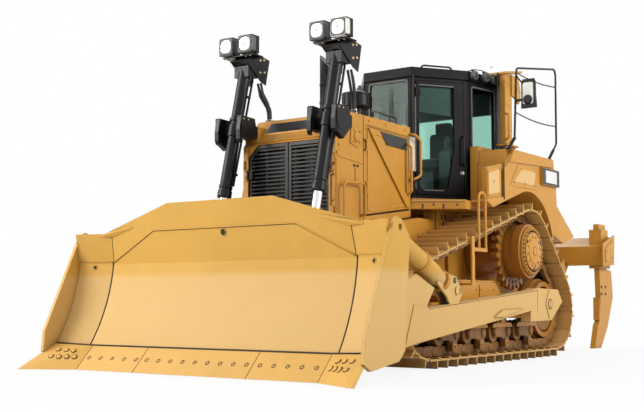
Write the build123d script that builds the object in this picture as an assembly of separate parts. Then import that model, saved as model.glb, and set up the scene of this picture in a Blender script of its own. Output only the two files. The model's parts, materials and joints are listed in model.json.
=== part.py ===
from build123d import *
import math
import os

# A track-type tractor with a raised sprocket, a semi-U blade and a multi-shank ripper.
# Millimetres. +Z is up, the blade is at -Y and +X is the machine's left.
# Every Y below is counted from the sprocket axle; the finished parts are then moved so
# that the origin lies under the middle of the machine.

FRONT_REACH = 4843        # sprocket axle to the toes of the end bits
REAR_REACH = 3300         # sprocket axle to the back of the ripper shanks
RUN_GAP = 6               # gap between a moving piece and what it passes
SEAT = 0.3                # gap of a round face that lies on another body
HINGE_R = 12
HINGE_LONG = 90           # length of a door hinge's knuckle
HINGE_LEAF = 60
EAR = 14                  # plate above and below a knuckle

# ---- undercarriage ----
GAUGE = 2082              # between the middles of the two chains
SHOE_WIDTH = 610
SHOE_COUNT = 44
SHOE_THICK = 20
SHOE_OUT = 72             # pin line to the outer face of a shoe
GROUSER = 78              # height of a shoe's bar
GROUSER_THICK = 24
SHOE_SPLIT = 7            # gap between two shoes
LINK_OUT = 119            # middle of the chain to the outer side of a link
LINK_THICK = 62
LINK_RISE = 62            # pin line to the rail that the rollers run on
IDLER_FRONT_Y = -2511
IDLER_REAR_Y = 700
IDLER_PITCH_R = 420
IDLER_SHAFT_R = 90
IDLER_SHAFT_HALF = 150
SPROCKET_PITCH_R = 438
SPROCKET_Z = 1261
SPROCKET_TEETH = 25
GROUND_CLEARANCE = 618
PIN_LINE_Z = SHOE_OUT + GROUSER
IDLER_Z = PIN_LINE_Z + IDLER_PITCH_R
CHAIN_X = GAUGE / 2

ROLLER_R = 112
ROLLER_COUNT = 8
ROLLER_FRONT_Y = -2010
ROLLER_STEP = 315
BOGIE_RISE = 150          # roller axle to the underside of the track frame
ROLLER_GAP = SEAT         # roller to rail
BOGIE_PAD = 96            # square pad on the side of a bogie
PAD_BACK = 50             # middle of a bogie to the middle of its pad
PAD_LOW_Z = 150
CHEEK_IN = LINK_OUT + 12  # middle of the chain to the inner side of a bogie's cheek
CHEEK_THICK = 30
FRAME_HALF = 165          # half width of a track frame
PIVOT_SHAFT_R = 130
CASE_HALF = 575           # half width of the main case
DRUM_R = 318              # rotating case of the final drive
HUB_R = 285
HUB_X = 1350              # middle of the machine to the hub cap

# ---- blade and its arms ----
TRUNNION_Z = 637
TRUNNION_X = 1528         # middle of the machine to the outer face of a trunnion
TRUNNION_R = 95
ARM_THICK = 120
ARM_OUT = TRUNNION_X + 4  # middle of the machine to the outer side of a push arm
ARM_IN = ARM_OUT - ARM_THICK
BRACE_X = (ARM_IN + ARM_OUT) / 2
ARM_TOP = ((-2879, 609), (-300, 806))
BRACE_EYE = 38            # half width of a brace's eyes
BRACE_EYE_R = 84
HORN_TOP_Z = 1415
BLADE_HALF = 1930         # outer faces of the end plates
EDGE_GROUND_GAP = 8       # the parked blade rests this far above the floor
SEAM_X = 1500             # where the wings leave the middle section
WING_SWEEP = 0.27         # forward run of a wing for each unit of width
PLATE = 28                # moldboard plate
EDGE_THICK = 34
GUARD_TOP_X = 651         # half width of the flat top of the spill guard
GUARD_TOP_Z = 1626
GUARD_END_Z = 1359
BOARD_POINTS = ((-4345, 215), (-4125, 640), (-4035, 1050), (-4158, GUARD_TOP_Z))
BLADE_BACK_Y = -3950      # rear of the box beams behind the moldboard
BACK_HALF = 1480          # half width of those beams
TOP_BEAM = (1050, 1330)   # lower and upper side of the upper one
EDGE_HALF = 1448          # half width of the straight cutting edge
TOE = (1970, -FRONT_REACH)        # lower outer corner of an end bit
TOE_TOP = (1872, -4454, 252)      # its upper outer corner
TOE_THICK = 46                    # an end bit, measured along Y
EDGE_TOP_Z = 235
EDGE_TOP_Y = -4340
EYE_HOLE_R = 30
EYE_HOLE = (-4034, 1296)
BRACE_TOP = (-3620, 1355) # upper pin of a brace, y and z
BRACE_LOW = (-2296, 775)
BRACE_R = 98
END_PLATE = 40
LIFT_X = 600              # middle of the machine to a lift cylinder
LIFT_EYE = (-3620, 640)   # rod eye on the back of the blade, y and z
LIFT_YOKE = (-3194, 2450)
LIFT_BARREL_R = 66
LIFT_ROD_R = 45
LIFT_PIN_R = 40
GLAND_LONG = 90
LAMP_PLATE_X = 96         # middle of a lift cylinder to a lamp plate
LIFT_BARREL_DOWN = 727    # yoke to the gland
LIFT_BARREL_UP = 743      # yoke to the head
YOKE_NEAR = 116           # middle of a lift cylinder to its bearing blocks
YOKE_FAR = 176
YOKE_REAR = 164           # trunnion of a lift cylinder to the rear of its bearing
LAMP = 185                # side of a work lamp
EYE_R = 78
ROD_START = 262           # yoke to the inner end of the rod

# ---- body ----
NOSE_HALF = 592
HOOD_TOP_Z = 2605
HOOD_FRONT_Y = -2800
NOSE_FRONT_Y = -3060
SEAM_Y = -2540            # joint between the radiator guard and the engine enclosure
HOOD_REAR_Y = -1587
ENGINE_LOW_Z = 1250
NOSE_LOW_Z = 1000
RAIL_HALF = 535           # half width of the frame rails
SIDE_BOX_X = 695
GRILLE_HALF = 525
GRILLE_TOP_Z = 2310
GRILLE_BOTTOM_Z = 1010
GRILLE_CUT = 130          # cut corners of the grille mouth
GRILLE_DEEP = 8           # the doors sit this far behind the face of the guard
GRILLE_HINGES = (1150, 1950)
HOOD_WALL = 40
SEAM_GAP = 4
ENGINE_HINGES = (1800, 2250)
NOSE_SIDE = (
    (NOSE_FRONT_Y, 1000),
    (NOSE_FRONT_Y, GRILLE_TOP_Z - 10),
    (HOOD_FRONT_Y - 40, HOOD_TOP_Z - 40),
    (HOOD_FRONT_Y, HOOD_TOP_Z),
    (SEAM_Y, HOOD_TOP_Z),
    (SEAM_Y, 1250),
    (SEAM_Y + 60, 1000),
)
DOOR_THICK = 36
SLAT_COUNT = 30
SLAT_HALF = 8
STACK = (0, -2380)
STACK_R = 66
PRECLEANER = (0, -1780)

CAB_FLOOR_Z = 1870
CAB_ROOF_Z = 3420
CAB_WALL = 50
CAB_ROOF = 110
DOOR_JAMB = 50            # corner of the cab to the door opening
DOOR_PROUD = 8            # the door stands this far out of its frame
CAB_HINGES = (2080, 3080)
DECK_TOP_Z = 1790
DECK_LOW_Z = 1690
LIP_X = 1100              # outer edge of the deck and inner edge of the fender's lip
TANK_X = 1300
TANK_INNER_X = 870
TANK_TOP_Z = 2440
TANK_FRONT_Y = -500
SKIRT_Y = -700            # front edge of the fender's outer skirt
SKIRT_X = 1240            # inner side of the skirt's body
FLANGE = 10               # thickness of the bolted plate on the tank
ROPS_IN = 965             # inner and outer side of a roll-over post
ROPS_OUT = 1040
ARCH_R = 715
RAIL_R = 13
MIRROR_X = 1420
MIRROR_Z = 2940

# ---- ripper ----
RIPPER_PIVOT = (1380, 950)      # lower link at the tractor, y and z
RIPPER_LINK = (1240, 150)       # run of a link to the beam
RIPPER_UPPER_RISE = 600         # lower pivot to upper pivot
RIPPER_HALF = 1232
RIPPER_PIN_R = 36
LINK_HALF = 52                  # half width of a lower link
EAR_GAP = 68                    # middle of a link or cylinder eye to its ear plates
EAR_HALF = 16
UPPER_EYE_R = 75
RIPPER_PIVOT_X = 560            # middle of a lower link
RIPPER_UPPER_X = 330
RIPPER_LIFT_X = 160
RIPPER_ROD_R = 38
RIPPER_EYE_R = 55
RIPPER_LIFT_TOP = (1390, 1880)
RIPPER_LIFT_EYE = (2440, 1215)
SHANK_XS = (-1075, 0, 1075)
SHANK_THICK = 76
SHANK_DEEP = 270
SHANK_Y = 2780                  # front face of a shank in its pocket
TIP_Z = 12


# ---- helpers ----
def place(shape):
    """Move a finished part from the sprocket axle to the origin of the machine."""
    return Pos(Y=(FRONT_REACH - REAR_REACH) / 2) * shape


def save(name, shape):
    os.makedirs("parts", exist_ok=True)
    export_step(place(shape), f"parts/{name}.step")


def side_plate(outline, x_from, x_to):
    """Plate between two X planes; the outline is (y, z) points."""
    face = make_face(Polyline(*[(0, y, z) for y, z in outline], close=True))
    return Pos(X=x_from) * extrude(face, x_to - x_from, dir=(1, 0, 0))


def front_plate(outline, y_from, y_to):
    """Plate between two Y planes; the outline is (x, z) points."""
    face = make_face(Polyline(*[(x, 0, z) for x, z in outline], close=True))
    return Pos(Y=y_from) * extrude(face, y_to - y_from, dir=(0, 1, 0))


def plan_plate(outline, z_from, z_to):
    """Plate between two Z planes; the outline is (x, y) points."""
    face = make_face(Polyline(*[(x, y, 0) for x, y in outline], close=True))
    return Pos(Z=z_from) * extrude(face, z_to - z_from, dir=(0, 0, 1))


def block(x_from, x_to, y_from, y_to, z_from, z_to):
    middle = Pos((x_from + x_to) / 2, (y_from + y_to) / 2, (z_from + z_to) / 2)
    return middle * Box(abs(x_to - x_from), abs(y_to - y_from), abs(z_to - z_from))


def rod(start, end, radius):
    """Round bar from one point to another."""
    run = Vector(end) - Vector(start)
    bar = Cylinder(radius, run.length, align=(Align.CENTER, Align.CENTER, Align.MIN))
    return Plane(origin=start, z_dir=run) * bar


def drum(x_from, x_to, y, z, radius):
    """Disc or drum with its axle along X."""
    return rod((min(x_from, x_to), y, z), (max(x_from, x_to), y, z), radius)


def bent_tube(points, radius, bend, steps=2):
    """Round tube whose corners are bends of a few mitred lengths."""
    route = [Vector(*points[0])]
    for before, corner, after in zip(points, points[1:], points[2:]):
        corner = Vector(*corner)
        into = (corner - Vector(*before)).normalized()
        out = (Vector(*after) - corner).normalized()
        turn = math.radians(into.get_angle(out))
        cut = bend * math.tan(turn / 2)
        centre = corner + (out - into).normalized() * (bend / math.cos(turn / 2))
        start = corner - into * cut - centre
        for i in range(steps + 1):
            swing = turn * i / steps
            route.append(centre + start * math.cos(swing) + into * bend * math.sin(swing))
    route.append(Vector(*points[-1]))
    path = Polyline(*route)
    ring = Plane(origin=route[0], z_dir=path % 0) * Circle(radius)
    return sweep(ring, path, transition=Transition.RIGHT)


def hinge_line(corner, into, outward):
    """Local plane of a door hinge: X into the door, Z out of its face. The origin is on the
    frame's outer face at the edge of the opening."""
    return Plane(origin=(*corner, 0), x_dir=(*into, 0), z_dir=(*outward, 0))


def hinge_axis(plane):
    """Middle of the knuckles, just proud of the frame's face."""
    return plane.origin + plane.z_dir * (HINGE_R + SEAT)


def hinge_knuckles(plane, heights, face):
    """Knuckles and leaves on the door, whose outer face is this far above the frame's."""
    up = plane.y_dir.Z
    shape = Part()
    for z in heights:
        low, high = sorted((up * (z + SEAT), up * (z + HINGE_LONG - SEAT)))
        shape += plane * rod((0, low, HINGE_R + SEAT), (0, high, HINGE_R + SEAT), HINGE_R)
        shape += plane * block(0, HINGE_LEAF, low, high, max(face, 0) - 1, max(face, 0) + 8)
        if face < 0:
            shape += plane * block(RUN_GAP, HINGE_LEAF, low, high, face - 1, 1)
    return shape


def hinge_ears(plane, heights):
    """Plates above and below each knuckle, on the frame."""
    up = plane.y_dir.Z
    shape = Part()
    for z in heights:
        for end in (z - EAR, z + HINGE_LONG):
            low, high = sorted((up * end, up * (end + EAR)))
            shape += plane * block(-HINGE_R - 26, 0, low, high, -6, 2 * HINGE_R + SEAT)
    return shape


def mirrored(shape):
    """The same piece on the machine's right side."""
    return mirror(shape, Plane.YZ)


def pair(shape):
    """A left piece and its mirror image in one node."""
    return Part() + [shape, mirrored(shape)]


def both(name, shape):
    """Write a left piece and its mirror image."""
    save(name + "_left", shape)
    save(name + "_right", mirrored(shape))


# ---- chain ----
def belt_corners():
    """Centre and pitch radius of the rounds that the chain runs over, in running order:
    front idler, rear idler, sprocket."""
    return (
        ((IDLER_FRONT_Y, IDLER_Z), IDLER_PITCH_R),
        ((IDLER_REAR_Y, IDLER_Z), IDLER_PITCH_R),
        ((0, SPROCKET_Z), SPROCKET_PITCH_R),
    )


def belt_legs():
    """Straight runs of the pin line, anticlockwise seen along -X: start, end, then the
    round that follows, as centre, radius, start angle and turn."""
    rounds = belt_corners()
    runs = []
    for (c0, r0), (c1, r1) in zip(rounds, rounds[1:] + rounds[:1]):
        dy, dz = c1[0] - c0[0], c1[1] - c0[1]
        heading = math.atan2(dz, dy) - math.asin((r1 - r0) / math.hypot(dy, dz))
        out = heading - math.pi / 2
        start = (c0[0] + r0 * math.cos(out), c0[1] + r0 * math.sin(out))
        end = (c1[0] + r1 * math.cos(out), c1[1] + r1 * math.sin(out))
        runs.append((start, end, out))
    legs = []
    for i, (start, end, out) in enumerate(runs):
        centre, radius = rounds[(i + 1) % 3]
        turn = (runs[(i + 1) % 3][2] - out) % (2 * math.pi)
        legs.append((start, end, centre, radius, out, turn))
    return legs


def belt_length():
    return sum(math.dist(leg[0], leg[1]) + leg[3] * leg[5] for leg in belt_legs())


def belt_point(distance):
    """Point of the pin line at a distance along it."""
    for start, end, centre, radius, out, turn in belt_legs():
        run = math.dist(start, end)
        if distance <= run:
            share = distance / run
            return tuple(a + (b - a) * share for a, b in zip(start, end))
        distance -= run
        if distance <= radius * turn:
            angle = out + distance / radius
            return (
                centre[0] + radius * math.cos(angle),
                centre[1] + radius * math.sin(angle),
            )
        distance -= radius * turn
    return belt_legs()[0][0]


def chain_outline(profile):
    """One closed outline round the chain. The profile is (along, out) points of one link,
    counted from its middle and from the pin line."""
    pitch = belt_length() / SHOE_COUNT
    pins = [belt_point(i * pitch) for i in range(SHOE_COUNT)]
    points = []
    for (y0, z0), (y1, z1) in zip(pins, pins[1:] + pins[:1]):
        long = math.hypot(y1 - y0, z1 - z0)
        ty, tz = (y1 - y0) / long, (z1 - z0) / long
        for along, out in profile(long):
            points.append(
                (
                    (y0 + y1) / 2 + ty * along + tz * out,
                    (z0 + z1) / 2 + tz * along - ty * out,
                )
            )
    return points


def shoe_profile(long):
    """Outer side of one shoe with its bar near the trailing edge."""
    edge = long / 2 - SHOE_SPLIT / 2
    bar = edge - 40
    inner = SHOE_OUT - SHOE_THICK
    return (
        (-edge, inner),
        (-edge, SHOE_OUT),
        (bar - GROUSER_THICK, SHOE_OUT),
        (bar - GROUSER_THICK / 2 - 8, SHOE_OUT + GROUSER),
        (bar - 6, SHOE_OUT + GROUSER),
        (bar + 4, SHOE_OUT),
        (edge, SHOE_OUT),
        (edge, inner),
    )


def loop_band(outer, inner, x_from, x_to):
    """Closed band between two outlines round the chain."""
    return side_plate(outer, x_from, x_to) - side_plate(inner, x_from, x_to)


def make_track():
    shoe_inner = SHOE_OUT - SHOE_THICK - 14
    inner = chain_outline(lambda long: ((-long / 2 + 1, shoe_inner), (long / 2 - 1, shoe_inner)))
    half = SHOE_WIDTH / 2
    band = loop_band(chain_outline(shoe_profile), inner, CHAIN_X - half, CHAIN_X + half)
    rail_outer = chain_outline(lambda long: ((0, SHOE_OUT - SHOE_THICK - 4),))
    rail_inner = chain_outline(
        lambda long: ((-long / 2 + 30, -LINK_RISE), (long / 2 - 30, -LINK_RISE))
    )
    for side in (-1, 1):
        a = CHAIN_X + side * (LINK_OUT - LINK_THICK)
        b = CHAIN_X + side * LINK_OUT
        band += loop_band(rail_outer, rail_inner, min(a, b), max(a, b))
    return band


# ---- undercarriage ----
def make_sprocket():
    """Toothed rim with a flange that bolts to the final drive."""
    points = []
    for tooth in range(SPROCKET_TEETH):
        middle = tooth * 2 * math.pi / SPROCKET_TEETH
        for turn, radius in ((-0.085, -42), (-0.035, 18), (0.035, 18), (0.085, -42)):
            r = SPROCKET_PITCH_R + radius
            angle = middle + turn
            points.append((r * math.cos(angle), SPROCKET_Z + r * math.sin(angle)))
    rim = side_plate(points, CHAIN_X - 40, CHAIN_X + 40)
    return rim - drum(CHAIN_X - 50, CHAIN_X + 50, 0, SPROCKET_Z, DRUM_R)


def make_final_drive():
    """Fixed housing from the main case, then the rotating case and the hub cover."""
    housing = drum(CASE_HALF, CHAIN_X - 60, 0, SPROCKET_Z, 300)
    case = drum(CHAIN_X - 60, HUB_X - 50, 0, SPROCKET_Z, DRUM_R)
    cover = drum(HUB_X - 50, HUB_X - 22, 0, SPROCKET_Z, HUB_R)
    cap = drum(HUB_X - 22, HUB_X, 0, SPROCKET_Z, HUB_R - 60)
    return housing + case + cover + cap


def make_idler(y):
    """Idler with a raised middle flange that runs between the links."""
    half_pitch = belt_length() / SHOE_COUNT / 2
    tread = math.sqrt(IDLER_PITCH_R**2 - half_pitch**2) - LINK_RISE - ROLLER_GAP
    flange = LINK_OUT - LINK_THICK - 8
    shaft = IDLER_SHAFT_HALF
    wheel = drum(CHAIN_X - LINK_OUT, CHAIN_X + LINK_OUT, y, IDLER_Z, tread)
    wheel += drum(CHAIN_X - flange, CHAIN_X + flange, y, IDLER_Z, tread + 34)
    wheel -= drum(CHAIN_X + flange + 20, CHAIN_X + LINK_OUT + 5, y, IDLER_Z, tread - 60)
    return wheel + drum(CHAIN_X - shaft, CHAIN_X + shaft, y, IDLER_Z, IDLER_SHAFT_R)


def roller_z():
    return PIN_LINE_Z + LINK_RISE + ROLLER_GAP + ROLLER_R


def make_bogie(y_front, y_rear):
    """Two rollers between a pair of cheeks that hang under the track frame."""
    z = roller_z()
    middle = (y_front + y_rear) / 2
    pad_front = middle + PAD_BACK - BOGIE_PAD / 2
    pad_rear = pad_front + BOGIE_PAD
    cheek = (
        (y_front - 60, z + 20),
        (y_front - 20, z - 60),
        (pad_front, z - 60),
        (pad_front, PAD_LOW_Z),
        (pad_rear, PAD_LOW_Z),
        (pad_rear, z - 60),
        (y_rear + 20, z - 60),
        (y_rear + 60, z + 20),
        (middle + 90, z + BOGIE_RISE),
        (middle - 90, z + BOGIE_RISE),
    )
    shape = Part()
    for side in (-1, 1):
        near, far = CHAIN_X + side * CHEEK_IN, CHAIN_X + side * (CHEEK_IN + CHEEK_THICK)
        shape += side_plate(cheek, min(near, far), max(near, far))
    for y in (y_front, y_rear):
        shape += drum(CHAIN_X - CHEEK_IN, CHAIN_X + CHEEK_IN, y, z, ROLLER_R)
    out = CHAIN_X + CHEEK_IN + CHEEK_THICK
    return shape + block(out, out + 40, pad_front, pad_rear, PAD_LOW_Z, PAD_LOW_Z + BOGIE_PAD)


def make_bogies():
    ys = [ROLLER_FRONT_Y + i * ROLLER_STEP for i in range(ROLLER_COUNT)]
    return Part() + [make_bogie(front, rear) for front, rear in zip(ys[::2], ys[1::2])]


def make_track_frame():
    """Box beam between the upper and lower runs, with forks for both idlers."""
    low = roller_z() + BOGIE_RISE
    beam = (
        (IDLER_FRONT_Y + 470, low),
        (IDLER_FRONT_Y + 470, 730),
        (-1750, 880),
        (-760, 880),
        (-560, 700),
        (250, 700),
        (250, low),
    )
    inner, outer = CHAIN_X - FRAME_HALF, CHAIN_X + FRAME_HALF
    shape = side_plate(beam, inner, outer)
    fork = 28
    for edge, back in ((inner, inner + fork), (outer - fork, outer)):
        shape += block(edge, back, IDLER_FRONT_Y - 60, IDLER_FRONT_Y + 480, 500, 660)
        shape += block(edge, back, 240, IDLER_REAR_Y + 70, 500, 660)
    shaft = IDLER_SHAFT_HALF + SEAT
    for y in (IDLER_FRONT_Y, IDLER_REAR_Y):
        shape -= drum(CHAIN_X - shaft, CHAIN_X + shaft, y, IDLER_Z, IDLER_SHAFT_R + SEAT)
    shape += drum(CASE_HALF + 5, inner + 5, 0, TRUNNION_Z, PIVOT_SHAFT_R)
    boss = TRUNNION_X - ARM_THICK - RUN_GAP
    shape += drum(outer - 5, boss, 0, TRUNNION_Z, TRUNNION_R + 60)
    return shape + drum(boss - 5, TRUNNION_X - 20, 0, TRUNNION_Z, TRUNNION_R)


# ---- frame and body ----
def make_main_frame():
    """Rear case, side rails, belly guard, side boxes and the front cross member."""
    half = CASE_HALF
    case = (
        (-700, GROUND_CLEARANCE),
        (1180, GROUND_CLEARANCE),
        (1260, 760),
        (1260, 1640),
        (-480, DECK_LOW_Z),
        (-700, DECK_LOW_Z),
    )
    rails = (
        (-2960, 760),
        (-2780, GROUND_CLEARANCE),
        (-690, GROUND_CLEARANCE),
        (-690, ENGINE_LOW_Z),
        (-2500, ENGINE_LOW_Z),
        (-2560, NOSE_LOW_Z),
        (-2960, NOSE_LOW_Z),
    )
    side_box = (
        (-2500, ENGINE_LOW_Z - 90),
        (-2500, 1425),
        (-1600, 1585),
        (-1260, 1585),
        (-1260, ENGINE_LOW_Z - 90),
    )
    shape = side_plate(case, -half, half)
    shape += side_plate(rails, -RAIL_HALF, RAIL_HALF)
    shape += block(-NOSE_HALF, NOSE_HALF, -2960, -2560, 800, NOSE_LOW_Z)
    for side in (-1, 1):
        a, b = side * (half - 5), side * SIDE_BOX_X
        shape += block(min(a, b), max(a, b), -1260, -640, 1430, DECK_LOW_Z)
        a, b = side * (RAIL_HALF - 5), side * SIDE_BOX_X
        shape += side_plate(side_box, min(a, b), max(a, b))
    shape += block(-half, half, 430, 540, 1600, 2050)
    return shape + block(-TANK_INNER_X, TANK_INNER_X, 430, 540, 1780, 2050)


def make_equalizer_bar():
    """Cross bar that ties the two track frames together under the engine."""
    z_top, z_low = GROUND_CLEARANCE, GROUND_CLEARANCE - 130
    reach = CHAIN_X - FRAME_HALF
    bar = ((-reach, z_low + 60), (-500, z_low), (500, z_low))
    bar += ((reach, z_low + 60), (reach, z_top), (-reach, z_top))
    return front_plate(bar, -1850, -1700)


def make_engine():
    return block(-330, 330, -2400, HOOD_REAR_Y - 70, ENGINE_LOW_Z, 2200)


def make_radiator_guard():
    """Nose shell: sloped brow, open grille mouth with cut corners, side walls and the seats
    of the two lift cylinders."""
    shell = side_plate(NOSE_SIDE, -NOSE_HALF, NOSE_HALF)
    y, z = LIFT_YOKE
    seat = ((y + YOKE_REAR, z - 105), (y + YOKE_REAR, z + 60), (-2840, z + 60), (-2990, z - 140))
    shell += pair(side_plate(seat, LIFT_X - YOKE_FAR, NOSE_HALF))
    room = (
        (NOSE_FRONT_Y + 70, 900),
        (NOSE_FRONT_Y + 70, GRILLE_TOP_Z - 20),
        (HOOD_FRONT_Y + 30, HOOD_TOP_Z - 60),
        (SEAM_Y + 100, HOOD_TOP_Z - 60),
        (SEAM_Y + 100, 900),
    )
    shell -= side_plate(room, -NOSE_HALF + 50, NOSE_HALF - 50)
    mouth = (
        (-GRILLE_HALF, GRILLE_BOTTOM_Z),
        (GRILLE_HALF, GRILLE_BOTTOM_Z),
        (GRILLE_HALF, GRILLE_TOP_Z - GRILLE_CUT),
        (GRILLE_HALF - GRILLE_CUT, GRILLE_TOP_Z),
        (-GRILLE_HALF + GRILLE_CUT, GRILLE_TOP_Z),
        (-GRILLE_HALF, GRILLE_TOP_Z - GRILLE_CUT),
    )
    shell -= front_plate(mouth, NOSE_FRONT_Y - 10, NOSE_FRONT_Y + 80)
    lip_top = HOOD_TOP_Z - HOOD_WALL
    shell += block(-400, 400, SEAM_Y - 30, SEAM_Y + 40, lip_top - 22, lip_top)
    return shell + pair(hinge_ears(grille_hinge(), GRILLE_HINGES))


def grille_hinge():
    return hinge_line((GRILLE_HALF, NOSE_FRONT_Y), (-1, 0), (0, -1))


def make_grille_door():
    """Left half of the grille: a frame with slats, hinged at its outer edge."""
    inner, outer = RUN_GAP, GRILLE_HALF - RUN_GAP
    low, top = GRILLE_BOTTOM_Z + RUN_GAP, GRILLE_TOP_Z - RUN_GAP
    cut = GRILLE_CUT
    y0 = NOSE_FRONT_Y + GRILLE_DEEP
    y1 = y0 + DOOR_THICK
    outline = ((inner, low), (outer, low), (outer, top - cut), (outer - cut, top), (inner, top))
    door = front_plate(outline, y0, y1)
    rim = 34
    pane = (
        (inner + rim, low + rim),
        (outer - rim, low + rim),
        (outer - rim, top - cut - rim / 2),
        (outer - cut - rim / 2, top - rim),
        (inner + rim, top - rim),
    )
    door -= front_plate(pane, y0 - 5, y1 + 5)
    span = (top - low - 2 * rim) / SLAT_COUNT
    for i in range(SLAT_COUNT):
        z = low + rim + span * (i + 0.5)
        reach = outer - rim / 2 - max(0, z + 22 - (top - cut))
        door += block(inner + 10, reach, y0 + 4, y1 - 4, z - SLAT_HALF, z + SLAT_HALF)
    return door + hinge_knuckles(grille_hinge(), GRILLE_HINGES, -GRILLE_DEEP)


def make_radiator():
    half = NOSE_HALF - 60
    return block(-half, half, NOSE_FRONT_Y + 130, NOSE_FRONT_Y + 260, NOSE_LOW_Z, 2280)


def make_hood():
    """Top and sides of the engine enclosure, with a door opening on each side."""
    half = NOSE_HALF
    front, rear = SEAM_Y + SEAM_GAP, HOOD_REAR_Y
    outline = ((front, HOOD_TOP_Z), (rear, HOOD_TOP_Z), (rear, 1600), (front, 1460))
    shell = side_plate(outline, -half, half)
    room = (
        (SEAM_Y - 60, HOOD_TOP_Z - HOOD_WALL),
        (rear + 60, HOOD_TOP_Z - HOOD_WALL),
        (rear + 60, 1200),
        (SEAM_Y - 60, 1200),
    )
    shell -= side_plate(room, -half + HOOD_WALL, half - HOOD_WALL)
    for side in (-1, 1):
        a, b = side * (half - HOOD_WALL - 20), side * (half + 10)
        shell -= side_plate(engine_door_outline(-5), min(a, b), max(a, b))
    return shell + pair(hinge_ears(engine_hinge(), ENGINE_HINGES))


def engine_door_outline(gap):
    """Outline of the door, drawn in by a gap; its sloping lower edge needs more room to swing."""
    low = 3 * gap
    return (
        (SEAM_Y + 50 + gap, HOOD_TOP_Z - 110 - gap),
        (HOOD_REAR_Y - 40 - gap, HOOD_TOP_Z - 130 - gap),
        (HOOD_REAR_Y - 40 - gap, 1690 + low),
        (SEAM_Y + 50 + gap, 1570 + low),
    )


def engine_hinge():
    return hinge_line((NOSE_HALF, SEAM_Y + 45), (0, 1), (1, 0))


def make_engine_door():
    """Side door with its hinges and the long handle at its rear edge."""
    panel = side_plate(engine_door_outline(0), NOSE_HALF - 32, NOSE_HALF)
    y = HOOD_REAR_Y - 90
    near, far = NOSE_HALF - 10, NOSE_HALF + 70
    handle = bent_tube(((near, y, 2400), (far, y, 2400), (far, y, 1840), (near, y, 1840)), 14, 40, 1)
    return panel + handle + hinge_knuckles(engine_hinge(), ENGINE_HINGES, 0)


def make_exhaust():
    """Stack whose mouth is cut at a slant towards the left."""
    x, y = STACK
    top, slope = 3285, 1.14
    stack = rod((x, y, HOOD_TOP_Z), (x, y, 3400), STACK_R)
    reach = STACK_R + 24
    mouth = ((x - reach, top + slope * reach), (x - reach, 3500))
    mouth += ((x + reach, 3500), (x + reach, top - slope * reach))
    return stack - front_plate(mouth, y - reach, y + reach)


def make_precleaner():
    """Drum on a narrow neck."""
    x, y = PRECLEANER
    return rod((x, y, HOOD_TOP_Z), (x, y, 2880), 84) + rod((x, y, 2862), (x, y, 3022), 163)


# ---- cab ----
def cab_plan(grow=0):
    """Plan outline of the cab: narrow front, slanted door faces, wide rear."""
    g = grow
    return (
        (-320 - g * 0.5, -1085 - g),
        (320 + g * 0.5, -1085 - g),
        (745 + g, -495 - g * 0.4),
        (850 + g, 100),
        (800 + g * 0.7, 400 + g),
        (-800 - g * 0.7, 400 + g),
        (-850 - g, 100),
        (-745 - g, -495 - g * 0.4),
    )


def door_frame():
    """Hinge plane of the left door and the width of its opening: X runs along the door from
    the edge of the opening, Y up and Z outwards."""
    start = Vector(320, -1085)
    end = Vector(745, -495)
    along = (end - start).normalized()
    edge = start + along * DOOR_JAMB
    plane = hinge_line((edge.X, edge.Y), (along.X, along.Y), (along.Y, -along.X))
    return plane, (end - start).length - 2 * DOOR_JAMB


def door_slab(outline, depth_from, depth_to):
    """Slab across the door face; the outline is (along, z) points from the hinge edge."""
    plane, _ = door_frame()
    face = make_face(Polyline(*[(x, z, 0) for x, z in outline], close=True))
    return plane * (Pos(Z=depth_from) * extrude(face, depth_to - depth_from, dir=(0, 0, 1)))


def door_rectangle(margin, low, high):
    _, width = door_frame()
    return ((margin, low), (width - margin, low), (width - margin, high), (margin, high))


def door_window(shrink):
    """Tall pane with cut lower corners; its rear edge leans forward near the bottom."""
    _, width = door_frame()
    low, high = CAB_FLOOR_Z + 90 + shrink, CAB_ROOF_Z - CAB_ROOF - 86 - shrink
    near, far = 45 + shrink, width - 130 - shrink
    return (
        (near + 60, low),
        (far - 150, low),
        (far - 80, low + 50),
        (far, low + 500),
        (far, high),
        (near, high),
        (near, low + 60),
    )


def make_cab():
    """Hollow cab body and roof with door openings and windows cut."""
    body = plan_plate(cab_plan(), CAB_FLOOR_Z, CAB_ROOF_Z - CAB_ROOF)
    body += plan_plate(cab_plan(25), CAB_ROOF_Z - CAB_ROOF, CAB_ROOF_Z)
    body -= plan_plate(cab_plan(-CAB_WALL), CAB_FLOOR_Z + 60, CAB_ROOF_Z - CAB_ROOF)
    doorway = door_rectangle(0, CAB_FLOOR_Z + 40, CAB_ROOF_Z - CAB_ROOF - 40)
    cut = door_slab(doorway, -90, 60) + rear_quarter_window(0)
    body -= pair(cut)
    body -= block(-270, 270, -1200, -1000, CAB_FLOOR_Z + 560, CAB_ROOF_Z - CAB_ROOF - 30)
    body -= block(-700, 700, 300, 500, CAB_FLOOR_Z + 560, CAB_ROOF_Z - CAB_ROOF - 60)
    plane, _ = door_frame()
    return body + pair(hinge_ears(plane, CAB_HINGES))


def rear_quarter_window(shrink):
    """Window between the door and the rear wall."""
    s = shrink
    return side_plate(
        (
            (-420 + s, CAB_FLOOR_Z + 610 + s),
            (50 - s, CAB_FLOOR_Z + 560 + s),
            (50 - s, CAB_ROOF_Z - CAB_ROOF - 60 - s),
            (-420 + s, CAB_ROOF_Z - CAB_ROOF - 60 - s),
        ),
        650,
        950,
    )


def make_cab_door():
    low, high = CAB_FLOOR_Z + 46, CAB_ROOF_Z - CAB_ROOF - 46
    door = door_slab(door_rectangle(RUN_GAP, low, high), -34, DOOR_PROUD)
    door -= door_slab(door_window(0), -60, 30)
    plane, _ = door_frame()
    return door + hinge_knuckles(plane, CAB_HINGES, DOOR_PROUD)


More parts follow.
